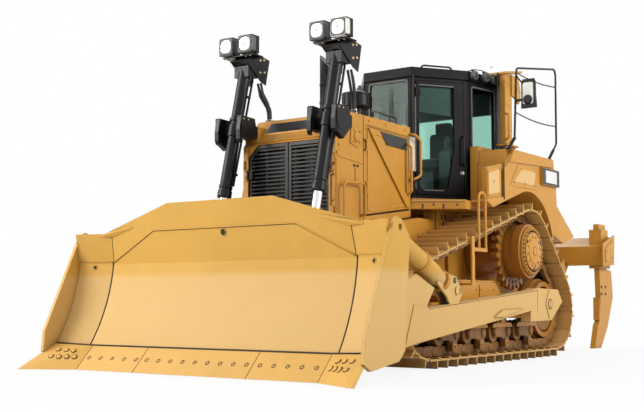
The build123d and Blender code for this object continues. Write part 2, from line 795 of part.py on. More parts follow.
def make_seat():
    """Suspension seat with a high back, on a pedestal."""
    seat = block(-260, 260, -420, 80, CAB_FLOOR_Z + 420, CAB_FLOOR_Z + 540)
    seat += block(-230, 230, 40, 160, CAB_FLOOR_Z + 520, CAB_FLOOR_Z + 1180)
    seat += block(-180, 180, -330, 30, CAB_FLOOR_Z + 60 + SEAT, CAB_FLOOR_Z + 425)
    return seat


def make_console():
    """Side consoles with their levers and the dash."""
    shape = Part()
    for side in (-1, 1):
        a, b = side * 330, side * 480
        shape += block(min(a, b), max(a, b), -450, 100, CAB_FLOOR_Z + 60 + SEAT, CAB_FLOOR_Z + 620)
        shape += rod((side * 400, -380, CAB_FLOOR_Z + 610), (side * 400, -400, CAB_FLOOR_Z + 760), 28)
    return shape


def make_rops():
    """Roll-over frame: two posts on bolted feet with a beam above the roof."""
    shape = Part()
    foot = TANK_TOP_Z + 105
    gusset = ((90, CAB_ROOF_Z + 20), (290, CAB_ROOF_Z + 20), (350, 3260), (335, 3150))
    gusset += ((285, 3105), (200, 3160), (90, 3190))
    for side in (-1, 1):
        for near, far, front, rear, low, high in (
            (ROPS_IN - 10, ROPS_OUT + 15, -100, 165, TANK_TOP_Z, foot),
            (ROPS_IN - 25, ROPS_OUT + 45, -130, 200, foot, foot + 22),
            (ROPS_IN, ROPS_OUT, -70, 120, foot + 22, CAB_ROOF_Z + 30),
        ):
            shape += block(side * near, side * far, front, rear, low, high)
        a, b = side * (ROPS_OUT - 5), side * (ROPS_OUT + 18)
        shape += side_plate(gusset, min(a, b), max(a, b))
    top = CAB_ROOF_Z
    beam = ((-90, top + 10), (392, top + 95), (392, top + 122), (-90, top + 36))
    return shape + side_plate(beam, -ROPS_OUT - 22, ROPS_OUT + 22)


def make_fender():
    """Tank on the left fender, arched over the chain, with the skirt and step box ahead of it
    and the tail behind it."""
    rear = ((750, TANK_TOP_Z), (826, 2095), (840, 1865), (1386, 1502))
    rear += ((1050, 1399), (700, 1399), (-221, 1941))
    tank = ((TANK_FRONT_Y, 1858), (TANK_FRONT_Y, TANK_TOP_Z)) + rear
    skirt = ((SKIRT_Y, 1799), (SKIRT_Y, 2170), (-534, 2279), (-425, TANK_TOP_Z)) + rear
    lip = ((-1120, 1776), (-964, 1721), (-300, 1918), (-300, 1960), (-735, 1852), (-1100, 1802))
    shell = side_plate(tank, TANK_INNER_X, SKIRT_X + 5) + side_plate(skirt, SKIRT_X, TANK_X)
    shell += side_plate(lip, LIP_X, TANK_X)
    shell -= drum(TANK_INNER_X - 80, TANK_X + 10, 0, SPROCKET_Z, ARCH_R)
    behind = ((700, 1300), (700, 1500), (1000, 1410), (1000, 1300))
    shell -= side_plate(behind, TANK_INNER_X - 5, TANK_X + 5)
    step_rear = SKIRT_Y - 35
    step = ((-1100, 1795), (-1100, 2155), (step_rear, 2235), (step_rear, 1845))
    shell += side_plate(step, TANK_X - 75, TANK_X - 10)
    top = TANK_TOP_Z
    flange = ((-425, top - 5), (748, top - 5), (670, 2332), (-534, 2279))
    panel = ((-283, 2283), (282, 2283), (193, 2012), (-536, 2002))
    shell += side_plate(flange, TANK_X - 1, TANK_X + FLANGE)
    shell += side_plate(panel, TANK_X - 1, TANK_X + FLANGE / 2)
    shell += block(TANK_X - 20, TANK_X + 35, 330, 850, 2095, 2305)
    front, inner = TANK_FRONT_Y - 12, TANK_INNER_X
    shell += block(inner - 85, inner + 5, front, TANK_FRONT_Y, CAB_FLOOR_Z, top + 60)
    shell += block(inner, inner + 25, front, TANK_FRONT_Y, 2300, top + 60)
    return shell + block(inner + 5, inner + 25, front + 2, -135, top - 5, top + 60)


def make_deck():
    """Platform from the enclosure back to the tanks, with the base of the cab on it."""
    rear_half = CHAIN_X - SHOE_WIDTH / 2 - 16
    outline = [(NOSE_HALF, HOOD_REAR_Y + 6), (LIP_X, -1251), (LIP_X, -720)]
    outline += [(rear_half, -720), (rear_half, 424)]
    outline += [(-x, y) for x, y in reversed(outline)]
    plinth = plan_plate(cab_plan(), DECK_TOP_Z, CAB_FLOOR_Z)
    plinth &= block(-rear_half, rear_half, -1200, 424, DECK_TOP_Z, CAB_FLOOR_Z)
    return plan_plate(outline, DECK_LOW_Z, DECK_TOP_Z) + plinth


def make_guard_rail():
    """Bent tube on the left tank, with its sprung feet and the mirror."""
    x = TANK_X - 30
    foot = TANK_TOP_Z
    front, rear = (x, -485, foot), (x, 680, foot)
    path = (front, (x, -313, 2590), (x, -238, 3440), (x, 950, 3640), (x, 935, 2670), rear)
    rail = bent_tube(path, RAIL_R, 60)
    for start, towards in ((front, (x, -330, 2575)), (rear, (x, 830, 2575))):
        rail += rod(start, towards, RAIL_R + 7)
    low, high = MIRROR_Z, MIRROR_Z + 345
    glass = ((MIRROR_X - 80, low), (MIRROR_X + 110, low), (MIRROR_X + 85, high), (MIRROR_X - 60, high))
    rail -= block(x - 80, x + 80, -700, 900, foot - 100, foot)
    rail += front_plate(glass, -275, -235)
    return rail + block(x - 5, MIRROR_X, -262, -240, MIRROR_Z + 90, MIRROR_Z + 120)


def make_glass():
    """Fixed panes of the cab: front, both rear quarters and the rear."""
    low, top = CAB_FLOOR_Z + 560, CAB_ROOF_Z - CAB_ROOF
    panes = [
        block(-270 + SEAT, 270 - SEAT, -1072, -1064, low + SEAT, top - 30 - SEAT),
        block(-700 + SEAT, 700 - SEAT, 372, 380, low + SEAT, top - 60 - SEAT),
    ]
    quarter = plan_plate(cab_plan(-12), low, top) - plan_plate(cab_plan(-20), low - 5, top + 5)
    quarter &= rear_quarter_window(SEAT)
    return Part() + panes + [quarter, mirrored(quarter)]


def make_door_glass():
    return door_slab(door_window(SEAT), -20, -12)


def make_grab_rail():
    """Hand loop and step post on the left track frame, beside the chain."""
    x = (CHAIN_X + SHOE_WIDTH / 2 + ARM_IN) / 2
    top, low = 1840, 1225
    loop = bent_tube(((x, -1490, low), (x, -1490, top), (x, -1330, top), (x, -1330, low)), 15, 62)
    post = block(x - 10, x + 10, -1670, -1610, 860, 1360)
    post += block(x - 10, x + 10, -1670, -1310, low - 25, low + 15)
    tab = block(CHAIN_X + FRAME_HALF, x + 10, -1690, -1590, 840, 862)
    return loop + post + tab


def make_hoses():
    """Two hoses from the hood up to the head of the left lift cylinder."""
    shape = block(LIFT_X - 75, LIFT_X - 15, -2690, -2630, HOOD_TOP_Z, HOOD_TOP_Z + 40)
    for x0, x1 in ((LIFT_X - 62, LIFT_X - 30), (LIFT_X - 28, LIFT_X + 12)):
        path = ((x0, -2660, HOOD_TOP_Z + 20), (x0, -2670, 2760), (x1, -2760, 2900), (x1, -2800, 3040))
        shape += bent_tube(path, 13, 60, 1)
    return shape


# ---- blade ----


def moldboard_face(thick):
    """Side section of the moldboard: a rolled lower part and a straight upper part."""
    low, mid, crease, top = BOARD_POINTS
    face = Line((0, *top), (0, *crease)) + ThreePointArc((0, *crease), (0, *mid), (0, *low))
    back = [(0, y + thick, z) for y, z in (low, mid, crease, top)]
    rear = Line((0, *low), back[0]) + ThreePointArc(back[0], back[1], back[2]) + Line(back[2], back[3])
    return make_face(face + rear + Line(back[3], (0, *top)))


def make_moldboard():
    """Middle section, the two swept wings and the spill guard in one plate."""
    section = moldboard_face(PLATE)
    ahead, behind = EDGE_TOP_Y - 300, BLADE_BACK_Y + 150
    board = Pos(X=-SEAM_X) * extrude(section, 2 * SEAM_X, dir=(1, 0, 0))
    spill = (
        (-SEAM_X - 10, 100),
        (SEAM_X + 10, 100),
        (SEAM_X + 10, GUARD_END_Z + 20),
        (GUARD_TOP_X, GUARD_TOP_Z),
        (-GUARD_TOP_X, GUARD_TOP_Z),
        (-SEAM_X - 10, GUARD_END_Z + 20),
    )
    board &= front_plate(spill, ahead, behind)
    run = BLADE_HALF - END_PLATE - SEAM_X
    sweep_dir = Vector(run, -run * WING_SWEEP, 0)
    wing = Pos(X=SEAM_X) * extrude(section, sweep_dir.length, dir=sweep_dir.normalized())
    low = BOARD_POINTS[0][1] - 15
    wing &= block(SEAM_X - 10, BLADE_HALF, ahead - run, behind, low, GUARD_END_Z)
    return board + wing + mirrored(wing) - make_cutting_edge()


def end_plate_outline():
    return (
        (-4145, 1327),
        (-4072, 1386),
        (-3994, 1356),
        (-3877, 1221),
        (-3917, 821),
        (-3966, 260),
        (-4065, 175),
        (-4494, 115),
        (-4594, 175),
        (-4574, 382),
    )


def make_end_plate():
    plate = side_plate(end_plate_outline(), BLADE_HALF - END_PLATE, BLADE_HALF)
    plate -= drum(BLADE_HALF - END_PLATE - 5, BLADE_HALF + 5, *EYE_HOLE, EYE_HOLE_R)
    return plate - make_cutting_edge()


def make_cutting_edge():
    """Bolted edge along the middle section and the end bits, whose lower corners run ahead."""
    low = EDGE_GROUND_GAP
    front, top = (EDGE_TOP_Y - 216, low), (EDGE_TOP_Y, EDGE_TOP_Z)
    section = (front, top, (EDGE_TOP_Y + EDGE_THICK, EDGE_TOP_Z), (EDGE_TOP_Y - 160, low))
    edge = side_plate(section, -EDGE_HALF, EDGE_HALF)
    root_low, root_top, toe = (EDGE_HALF, *front), (EDGE_HALF, *top), (*TOE, low)
    for corners in ((root_low, root_top, toe), (root_top, TOE_TOP, toe)):
        facet = make_face(Polyline(*corners, close=True))
        bit = extrude(facet, TOE_THICK, dir=(0, 1, 0))
        edge += [bit, mirrored(bit)]
    return edge


def make_blade_back():
    """Box beams, ribs and lugs behind the moldboard."""
    rear = BLADE_BACK_Y
    low, high = TOP_BEAM
    lower = ((-4400, 250), (-4400, 620), (rear, 620), (rear, 330), (-4100, 250))
    upper = ((-4300, low), (-4300, high), (rear + 40, high), (rear + 40, low))
    shape = side_plate(lower, -BACK_HALF, BACK_HALF) + side_plate(upper, -BACK_HALF, BACK_HALF)
    rib = ((-4300, 600), (-4300, 1060), (rear, 1060), (rear, 600))
    for x in (-1450, -950, -300, 300, 950, 1450):
        shape += side_plate(rib, x - 15, x + 15)
    y, z = LIFT_EYE
    lug = ((rear - 10, 340), (rear - 10, 900), (y - 20, z + 80))
    lug += ((y + 70, z + 40), (y + 70, z - 60), (y - 60, z - 90))
    y, z = BRACE_TOP
    horn = ((rear - 60, low), (rear - 60, high + 20), (y - 60, HORN_TOP_Z), (y + 40, HORN_TOP_Z))
    horn += ((y + 62, z), (y + 40, z - 55), (rear + 60, low))
    for side in (-1, 1):
        for off in (-1, 1):
            x = side * LIFT_X + off * (EYE_R / 2 + 28)
            shape += side_plate(lug, x - 18, x + 18)
            x = side * BRACE_X + off * (BRACE_EYE + 14)
            shape += side_plate(horn, x - 14, x + 14)
        inner, outer = side * (BACK_HALF - 5), side * (BRACE_X + BRACE_EYE + 20)
        shape += block(inner, outer, rear - 60, rear + 39, low, high)
    low, mid, crease, top = [(y + PLATE, z) for y, z in BOARD_POINTS]
    curve = Line((0, *top), (0, *crease)) + ThreePointArc((0, *crease), (0, *mid), (0, *low))
    ahead = rear - 1000
    front = Polyline((0, *low), (0, low[0], 0), (0, ahead, 0), (0, ahead, top[1]), (0, *top))
    face = make_face(curve + front)
    return shape - Pos(X=-BLADE_HALF) * extrude(face, 2 * BLADE_HALF, dir=(1, 0, 0))


def arm_top(y):
    """Height of the upper side of a push arm."""
    (y0, z0), (y1, z1) = ARM_TOP
    return z0 + (z1 - z0) * (y - y0) / (y1 - y0)


def make_push_arm():
    """Box arm from the trunnion to the back of the blade, with its tall front plate."""
    back = BLADE_BACK_Y
    arm = ((-3300, 250), (-3142, 273), (-500, 562), ARM_TOP[1], ARM_TOP[0], (-3130, 640))
    rear = ((-526, 440), (61, 448), (395, 663), (262, 809), (-340, 820), (-526, 780))
    front = ((back, 330), (-3300, 250), (-2860, 330), (-2870, 640), (-2727, 799))
    front += ((-3076, 927), (-3189, 872), (-3500, 960), (back, 900))
    hook = ((-1478, 504), (-1291, 575), (-746, 588), (-1256, 501))
    shape = side_plate(arm, ARM_IN, ARM_OUT) + side_plate(rear, ARM_IN, ARM_OUT)
    shape += side_plate(front, ARM_IN + 30, ARM_OUT - 8)
    shape += side_plate(hook, ARM_OUT - 2, ARM_OUT + 22)
    return shape - drum(ARM_IN - 5, TRUNNION_X - 15, 0, TRUNNION_Z, TRUNNION_R + SEAT)


def make_brace():
    """Thick tapered strut from a fork on the arm up to its lug on the back of the blade."""
    x = BRACE_X
    top, low = Vector(x, *BRACE_TOP), Vector(x, *BRACE_LOW)
    run = (low - top).normalized()
    long = (low - top).length
    thick, thin = long * 0.7, long * 0.88
    strut = rod(top + run * 130, top + run * thick, BRACE_R)
    taper = Cone(BRACE_R, 60, thin - thick, align=(Align.CENTER, Align.CENTER, Align.MIN))
    strut += Plane(origin=top + run * thick, z_dir=run) * taper
    side = Vector(0, -run.Z, run.Y) * 45
    ends = ((top, run * 140, 60), (low, run * (thin - long), BRACE_EYE_R))
    for point, reach, radius in ends:
        corners = (point + side, point + reach + side, point + reach - side, point - side)
        neck = side_plate([(c.Y, c.Z) for c in corners], x - BRACE_EYE, x + BRACE_EYE)
        strut += neck + drum(x - BRACE_EYE, x + BRACE_EYE, point.Y, point.Z, radius)
    fork = ((-2488, 711), (-2688, 850), (-2655, 940), (-2560, 957), (-2300, 915))
    fork += ((-2205, 800), (-2184, 727), (-2260, arm_top(-2260)), (-2440, arm_top(-2440)))
    for off in (-1, 1):
        a, b = x + off * BRACE_EYE, x + off * ARM_THICK / 2
        strut += side_plate(fork, min(a, b), max(a, b))
    pin = ARM_THICK / 2 + 14
    return strut + drum(x - pin, x + pin, *BRACE_LOW, 40)


# ---- lift cylinders ----
def lift_axis():
    """Unit vector from the yoke towards the rod eye, in y and z."""
    dy, dz = LIFT_EYE[0] - LIFT_YOKE[0], LIFT_EYE[1] - LIFT_YOKE[1]
    long = math.hypot(dy, dz)
    return dy / long, dz / long, long


def on_lift(distance):
    """Point of the left cylinder's axis, below the yoke by a distance."""
    uy, uz, _ = lift_axis()
    return (LIFT_X, LIFT_YOKE[0] + uy * distance, LIFT_YOKE[1] + uz * distance)


def make_lift_barrel():
    """Barrel with its trunnion, a collar, a square head between the lamp plates and the gland."""
    up, down = LIFT_BARREL_UP, LIFT_BARREL_DOWN
    barrel = rod(on_lift(-up), on_lift(down), LIFT_BARREL_R)
    barrel += rod(on_lift(-65), on_lift(65), LIFT_BARREL_R + 14)
    barrel += rod(on_lift(-140), on_lift(-108), LIFT_BARREL_R + 8)
    y, z = on_lift(-up + 60)[1:]
    half = LAMP_PLATE_X
    barrel += block(LIFT_X - half, LIFT_X + half, y - 60, y + 95, z - 60, z + 60)
    barrel -= rod(on_lift(-up + 30), on_lift(down - GLAND_LONG), LIFT_ROD_R + 8)
    barrel -= rod(on_lift(-up + 30), on_lift(down + 5), LIFT_ROD_R + SEAT)
    for side in (-1, 1):
        near, far = LIFT_X + side * 72, LIFT_X + side * 150
        barrel += drum(near, far, *LIFT_YOKE, LIFT_PIN_R)
    return barrel


def make_lift_rod():
    _, _, long = lift_axis()
    eye = drum(LIFT_X - EYE_R / 2 - 2, LIFT_X + EYE_R / 2 + 2, *LIFT_EYE, EYE_R)
    return rod(on_lift(ROD_START), on_lift(long - EYE_R / 2), LIFT_ROD_R) + eye


def make_lift_yoke():
    """Bearing blocks each side of the barrel, tied together behind it."""
    y, z = LIFT_YOKE
    rear = y + YOKE_REAR
    outer = ((y - 105, z + 141), (y + 115, z + 133), (rear, z - 43))
    outer += ((y + 16, z - 189), (y - 105, z - 122))
    inner = ((y - 105, z + 150), (y + 115, z + 140), (rear, z - 43))
    inner += ((y + 60, z - 100), (y - 105, z - 90))
    shape = side_plate(outer, LIFT_X + YOKE_NEAR, LIFT_X + YOKE_FAR)
    shape += side_plate(inner, LIFT_X - YOKE_FAR, LIFT_X - YOKE_NEAR)
    shape -= drum(LIFT_X - 155, LIFT_X + 155, y, z, LIFT_PIN_R + SEAT)
    shape += block(LIFT_X - YOKE_FAR, LIFT_X + YOKE_FAR, rear - 50, rear, z - 60, z + 60)
    return shape - side_plate(NOSE_SIDE, -NOSE_HALF, NOSE_HALF)


def make_lamp_bracket():
    """Pair of five-sided plates on the head of a lift cylinder."""
    y, z = on_lift(-LIFT_BARREL_UP)[1:]
    plate = ((y - 137, z + 50), (y + 51, z + 153), (y + 279, z + 112))
    plate += ((y + 217, z - 172), (y + 127, z - 143))
    near, far = LAMP_PLATE_X, LAMP_PLATE_X + 10
    return Part() + [
        side_plate(plate, LIFT_X - far, LIFT_X - near),
        side_plate(plate, LIFT_X + near, LIFT_X + far),
    ]


def make_lamps():
    """Two lamps on a shelf across the plates."""
    y, z = on_lift(-LIFT_BARREL_UP)[1:]
    shape = block(LIFT_X - 230, LIFT_X + 190, y - 110, y + 60, z + 100, z + 112)
    for left in (-245, 15):
        near = LIFT_X + left
        shape += block(near, near + LAMP, y - 150, y - 20, z + 125, z + 125 + LAMP)
        middle = near + LAMP / 2
        shape += block(middle - 20, middle + 20, y - 90, y - 60, z + 112, z + 125)
    return shape


# ---- ripper ----
def ripper_points():
    ay, az = RIPPER_PIVOT
    by, bz = ay + RIPPER_LINK[0], az + RIPPER_LINK[1]
    return ay, az, by, bz


def make_ripper_links():
    """The two lower links with their cross tube and the ears for the cylinders."""
    ay, az, by, bz = ripper_points()
    shape = Part()
    half = LINK_HALF
    for side in (-1, 1):
        x = side * RIPPER_PIVOT_X
        web = ((ay, az - 80), (by, bz - 80), (by, bz + 80), (ay, az + 80))
        shape += side_plate(web, x - half, x + half)
        shape += drum(x - half, x + half, ay, az, 80) + drum(x - half, x + half, by, bz, 80)
        for y, z in ((ay, az), (by, bz)):
            shape -= drum(x - half - 5, x + half + 5, y, z, RIPPER_PIN_R + SEAT)
    ey, ez = RIPPER_LIFT_EYE
    tube_z = az + (ey - ay) * (bz - az) / (by - ay)
    shape += block(-RIPPER_PIVOT_X, RIPPER_PIVOT_X, ey - 70, ey + 70, tube_z - 90, tube_z + 10)
    for side in (-1, 1):
        for off in (-1, 1):
            x = side * RIPPER_LIFT_X + off * EAR_GAP
            lug = ((ey - 65, tube_z), (ey + 65, tube_z), (ey + 45, ez + 50), (ey - 45, ez + 50))
            shape += side_plate(lug, x - EAR_HALF, x + EAR_HALF)
    return shape


def make_ripper_upper():
    """Left tilt cylinder, which holds the beam level as an upper link."""
    x = RIPPER_UPPER_X
    ay, az, by, bz = ripper_points()
    rise = RIPPER_UPPER_RISE
    start, end = Vector(x, ay, az + rise), Vector(x, by, bz + rise)
    run = (end - start).normalized()
    shape = rod(start + run * 50, end - run * 50, 38) + rod(start + run * 150, end - run * 150, 70)
    half = EAR_GAP - EAR_HALF
    for y, z in ((ay, az + rise), (by, bz + rise)):
        shape += drum(x - half, x + half, y, z, UPPER_EYE_R)
    return shape


def make_ripper_beam():
    """Tool beam with its end plates, pivot lugs, pins and shank pockets."""
    ay, az, by, bz = ripper_points()
    front, rear = by + 60, 3030
    section = ((front, 1443), (front, 1171), (rear - 7, 1224), (rear + 7, 1584))
    shape = side_plate(section, -RIPPER_HALF, RIPPER_HALF)
    cap = ((front - 55, 1470), (front - 55, 1150), (rear + 28, 1185), (rear + 62, 1612))
    low_lug = ((by - 70, bz - 60), (by + 20, bz - 100), (by + 200, 1200))
    low_lug += ((by + 200, 1400), (by - 40, bz + 90))
    top = bz + RIPPER_UPPER_RISE
    top_lug = ((by + 70, 1420), (by + 260, 1500), (by + 80, top + 60))
    top_lug += ((by - 60, top + 60), (by - 70, top - 60))
    for side in (-1, 1):
        a, b = side * (RIPPER_HALF - 24), side * RIPPER_HALF
        shape += side_plate(cap, min(a, b), max(a, b))
        for off in (-1, 1):
            x = side * RIPPER_PIVOT_X + off * EAR_GAP
            shape += side_plate(low_lug, x - EAR_HALF, x + EAR_HALF)
            x = side * RIPPER_UPPER_X + off * EAR_GAP
            shape += side_plate(top_lug, x - EAR_HALF, x + EAR_HALF)
        x = side * RIPPER_PIVOT_X
        reach = EAR_GAP + EAR_HALF + 12
        shape += drum(x - reach, x + reach, by, bz, RIPPER_PIN_R)
    wide = SHANK_THICK / 2 + 50
    back = SHANK_Y + SHANK_DEEP
    for x in SHANK_XS:
        shape += block(x - wide, x + wide, SHANK_Y - 60, back + 30, 1130, 1250)
        shape += block(x - wide, x + wide, SHANK_Y - 40, back - 40, 1440, 1680)
    for x in SHANK_XS:
        half = SHANK_THICK / 2
        shape -= block(x - half, x + half, SHANK_Y, back, 1000, 1760)
    return shape


def make_shanks():
    """Curved shanks with their tips."""
    rear = SHANK_Y + SHANK_DEEP
    outline = (
        (SHANK_Y, 1760),
        (SHANK_Y, 1100),
        (2801, 724),
        (2750, 401),
        (2700, 330),
        (2690, 350),
        (2547, TIP_Z),
        (2783, TIP_Z),
        (3060, 300),
        (REAR_REACH, 725),
        (3255, 1100),
        (rear, 1125),
        (rear, 1760),
    )
    half = SHANK_THICK / 2
    return Part() + [side_plate(outline, x - half, x + half) for x in SHANK_XS]


def make_ripper_bracket():
    """Plates on the back of the main case that carry the ripper's pins."""
    ay, az, _, _ = ripper_points()
    shape = block(-650, 650, 1260, 1290, 760, 1640) + block(-260, 260, 1260, 1290, 1630, 1960)
    for x, y, z in (
        (RIPPER_PIVOT_X, ay, az),
        (RIPPER_UPPER_X, ay, az + RIPPER_UPPER_RISE),
        (RIPPER_LIFT_X, *RIPPER_LIFT_TOP),
    ):
        ear = ((1280, z - 170), (y + 60, z - 60), (y + 60, z + 60), (1280, z + 60))
        for side in (-1, 1):
            for off in (-1, 1):
                at = side * x + off * EAR_GAP
                shape += side_plate(ear, at - EAR_HALF, at + EAR_HALF)
    for side in (-1, 1):
        x = side * RIPPER_PIVOT_X
        shape += drum(x - EAR_GAP - EAR_HALF - 12, x + EAR_GAP + EAR_HALF + 12, ay, az, RIPPER_PIN_R)
    return shape


def make_ripper_lift():
    """Barrel and rod of the left lift cylinder of the ripper."""
    x = RIPPER_LIFT_X
    top, eye = Vector(x, *RIPPER_LIFT_TOP), Vector(x, *RIPPER_LIFT_EYE)
    run = (eye - top).normalized()
    half = EAR_GAP - EAR_HALF
    barrel = rod(top + run * 90, top + run * 820, 74) + rod(top + run * 30, top + run * 100, 40)
    barrel += drum(x - half, x + half, top.Y, top.Z, 60)
    barrel -= rod(top + run * 120, top + run * 760, 50)
    barrel -= rod(top + run * 120, top + run * 830, RIPPER_ROD_R + SEAT)
    stem = rod(top + run * 470, eye - run * 40, RIPPER_ROD_R)
    return barrel, stem + drum(x - half, x + half, eye.Y, eye.Z, RIPPER_EYE_R)


# ---- write every part ----
both("track", make_track())
both("sprocket", make_sprocket())
both("final_drive", make_final_drive())
both("idlers", Part() + [make_idler(IDLER_FRONT_Y), make_idler(IDLER_REAR_Y)])
both("bogies", make_bogies())
both("track_frame", make_track_frame())
save("main_frame", make_main_frame())
save("equalizer_bar", make_equalizer_bar())
save("engine_block", make_engine())
save("radiator_guard", make_radiator_guard())
save("radiator", make_radiator())
both("grille_door", make_grille_door())
save("hood", make_hood())
both("engine_door", make_engine_door())
save("exhaust_stack", make_exhaust())
save("air_precleaner", make_precleaner())
save("cab", make_cab())
both("cab_door", make_cab_door())
save("seat", make_seat())
save("consoles", make_console())
save("cab_glass", make_glass())
both("door_glass", make_door_glass())
save("rops", make_rops())
save("deck", make_deck())
both("fender_tank", make_fender())
save("guard_rail", make_guard_rail())
save("grab_rails", pair(make_grab_rail()))
save("lift_hoses", pair(make_hoses()))
save("moldboard", make_moldboard())
save("end_plates", pair(make_end_plate()))
save("cutting_edge", make_cutting_edge())
save("blade_back", make_blade_back())
both("push_arm", make_push_arm())
save("braces", pair(make_brace()))
both("lift_barrel", make_lift_barrel())
both("lift_rod", make_lift_rod())
save("lift_yokes", pair(make_lift_yoke()))
bracket, lamps = make_lamp_bracket(), make_lamps()
save("lamp_bracket_left", bracket + lamps)
save("lamp_bracket_right", mirrored(bracket) + Pos(X=-2 * LIFT_X) * lamps)
save("ripper_bracket", make_ripper_bracket())
save("ripper_links", make_ripper_links())
save("ripper_uppers", pair(make_ripper_upper()))
save("ripper_beam", make_ripper_beam())
save("ripper_shanks", make_shanks())
ripper_barrel, ripper_rod = make_ripper_lift()
save("ripper_barrels", pair(ripper_barrel))
save("ripper_rods", pair(ripper_rod))
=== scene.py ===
"""Looks of a track-type tractor with a blade and a ripper, laid over its CAD frame."""
import json
import math

import bmesh
import bpy
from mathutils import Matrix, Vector

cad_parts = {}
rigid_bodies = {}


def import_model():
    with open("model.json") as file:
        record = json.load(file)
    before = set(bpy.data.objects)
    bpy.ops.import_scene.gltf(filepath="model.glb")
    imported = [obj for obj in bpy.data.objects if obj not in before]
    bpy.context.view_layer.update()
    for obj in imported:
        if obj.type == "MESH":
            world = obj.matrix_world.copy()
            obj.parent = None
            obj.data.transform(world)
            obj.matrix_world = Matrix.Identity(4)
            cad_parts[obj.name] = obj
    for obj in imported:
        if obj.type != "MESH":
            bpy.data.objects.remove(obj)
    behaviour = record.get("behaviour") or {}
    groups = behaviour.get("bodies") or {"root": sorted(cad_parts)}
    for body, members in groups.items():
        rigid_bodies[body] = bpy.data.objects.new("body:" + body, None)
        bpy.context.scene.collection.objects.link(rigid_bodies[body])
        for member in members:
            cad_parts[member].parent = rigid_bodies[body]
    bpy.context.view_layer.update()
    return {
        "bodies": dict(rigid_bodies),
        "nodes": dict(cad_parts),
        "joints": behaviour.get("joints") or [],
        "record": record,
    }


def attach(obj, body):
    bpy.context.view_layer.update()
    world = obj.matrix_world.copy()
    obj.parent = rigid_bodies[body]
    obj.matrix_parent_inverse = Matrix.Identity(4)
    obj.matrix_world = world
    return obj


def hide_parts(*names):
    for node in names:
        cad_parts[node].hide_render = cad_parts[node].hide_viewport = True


bl_info = {
    "name": "Track-type tractor looks",
    "version": (1, 0, 0),
    "blender": (4, 5, 0),
    "location": "View3D > Sidebar > Tractor",
    "description": "Adds materials, trim and light to the tractor's CAD frame",
    "category": "Object",
}

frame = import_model()

# ---- values, in metres ----
# Y is counted from the sprocket axle, as in the CAD source, and AXLE_Y moves it.
AXLE_Y = 0.7715
CAMERA_AT = (6.4447, -10.7705, 0.684)
CAMERA_LOOK = (-0.572, 0.8153, 0.0899)
LENS = 58.2
SIDES = (("left", 1), ("right", -1))


def at(x, y, z):
    """Point of the row frame from a Y counted from the sprocket axle."""
    return Vector((x, y + AXLE_Y, z))


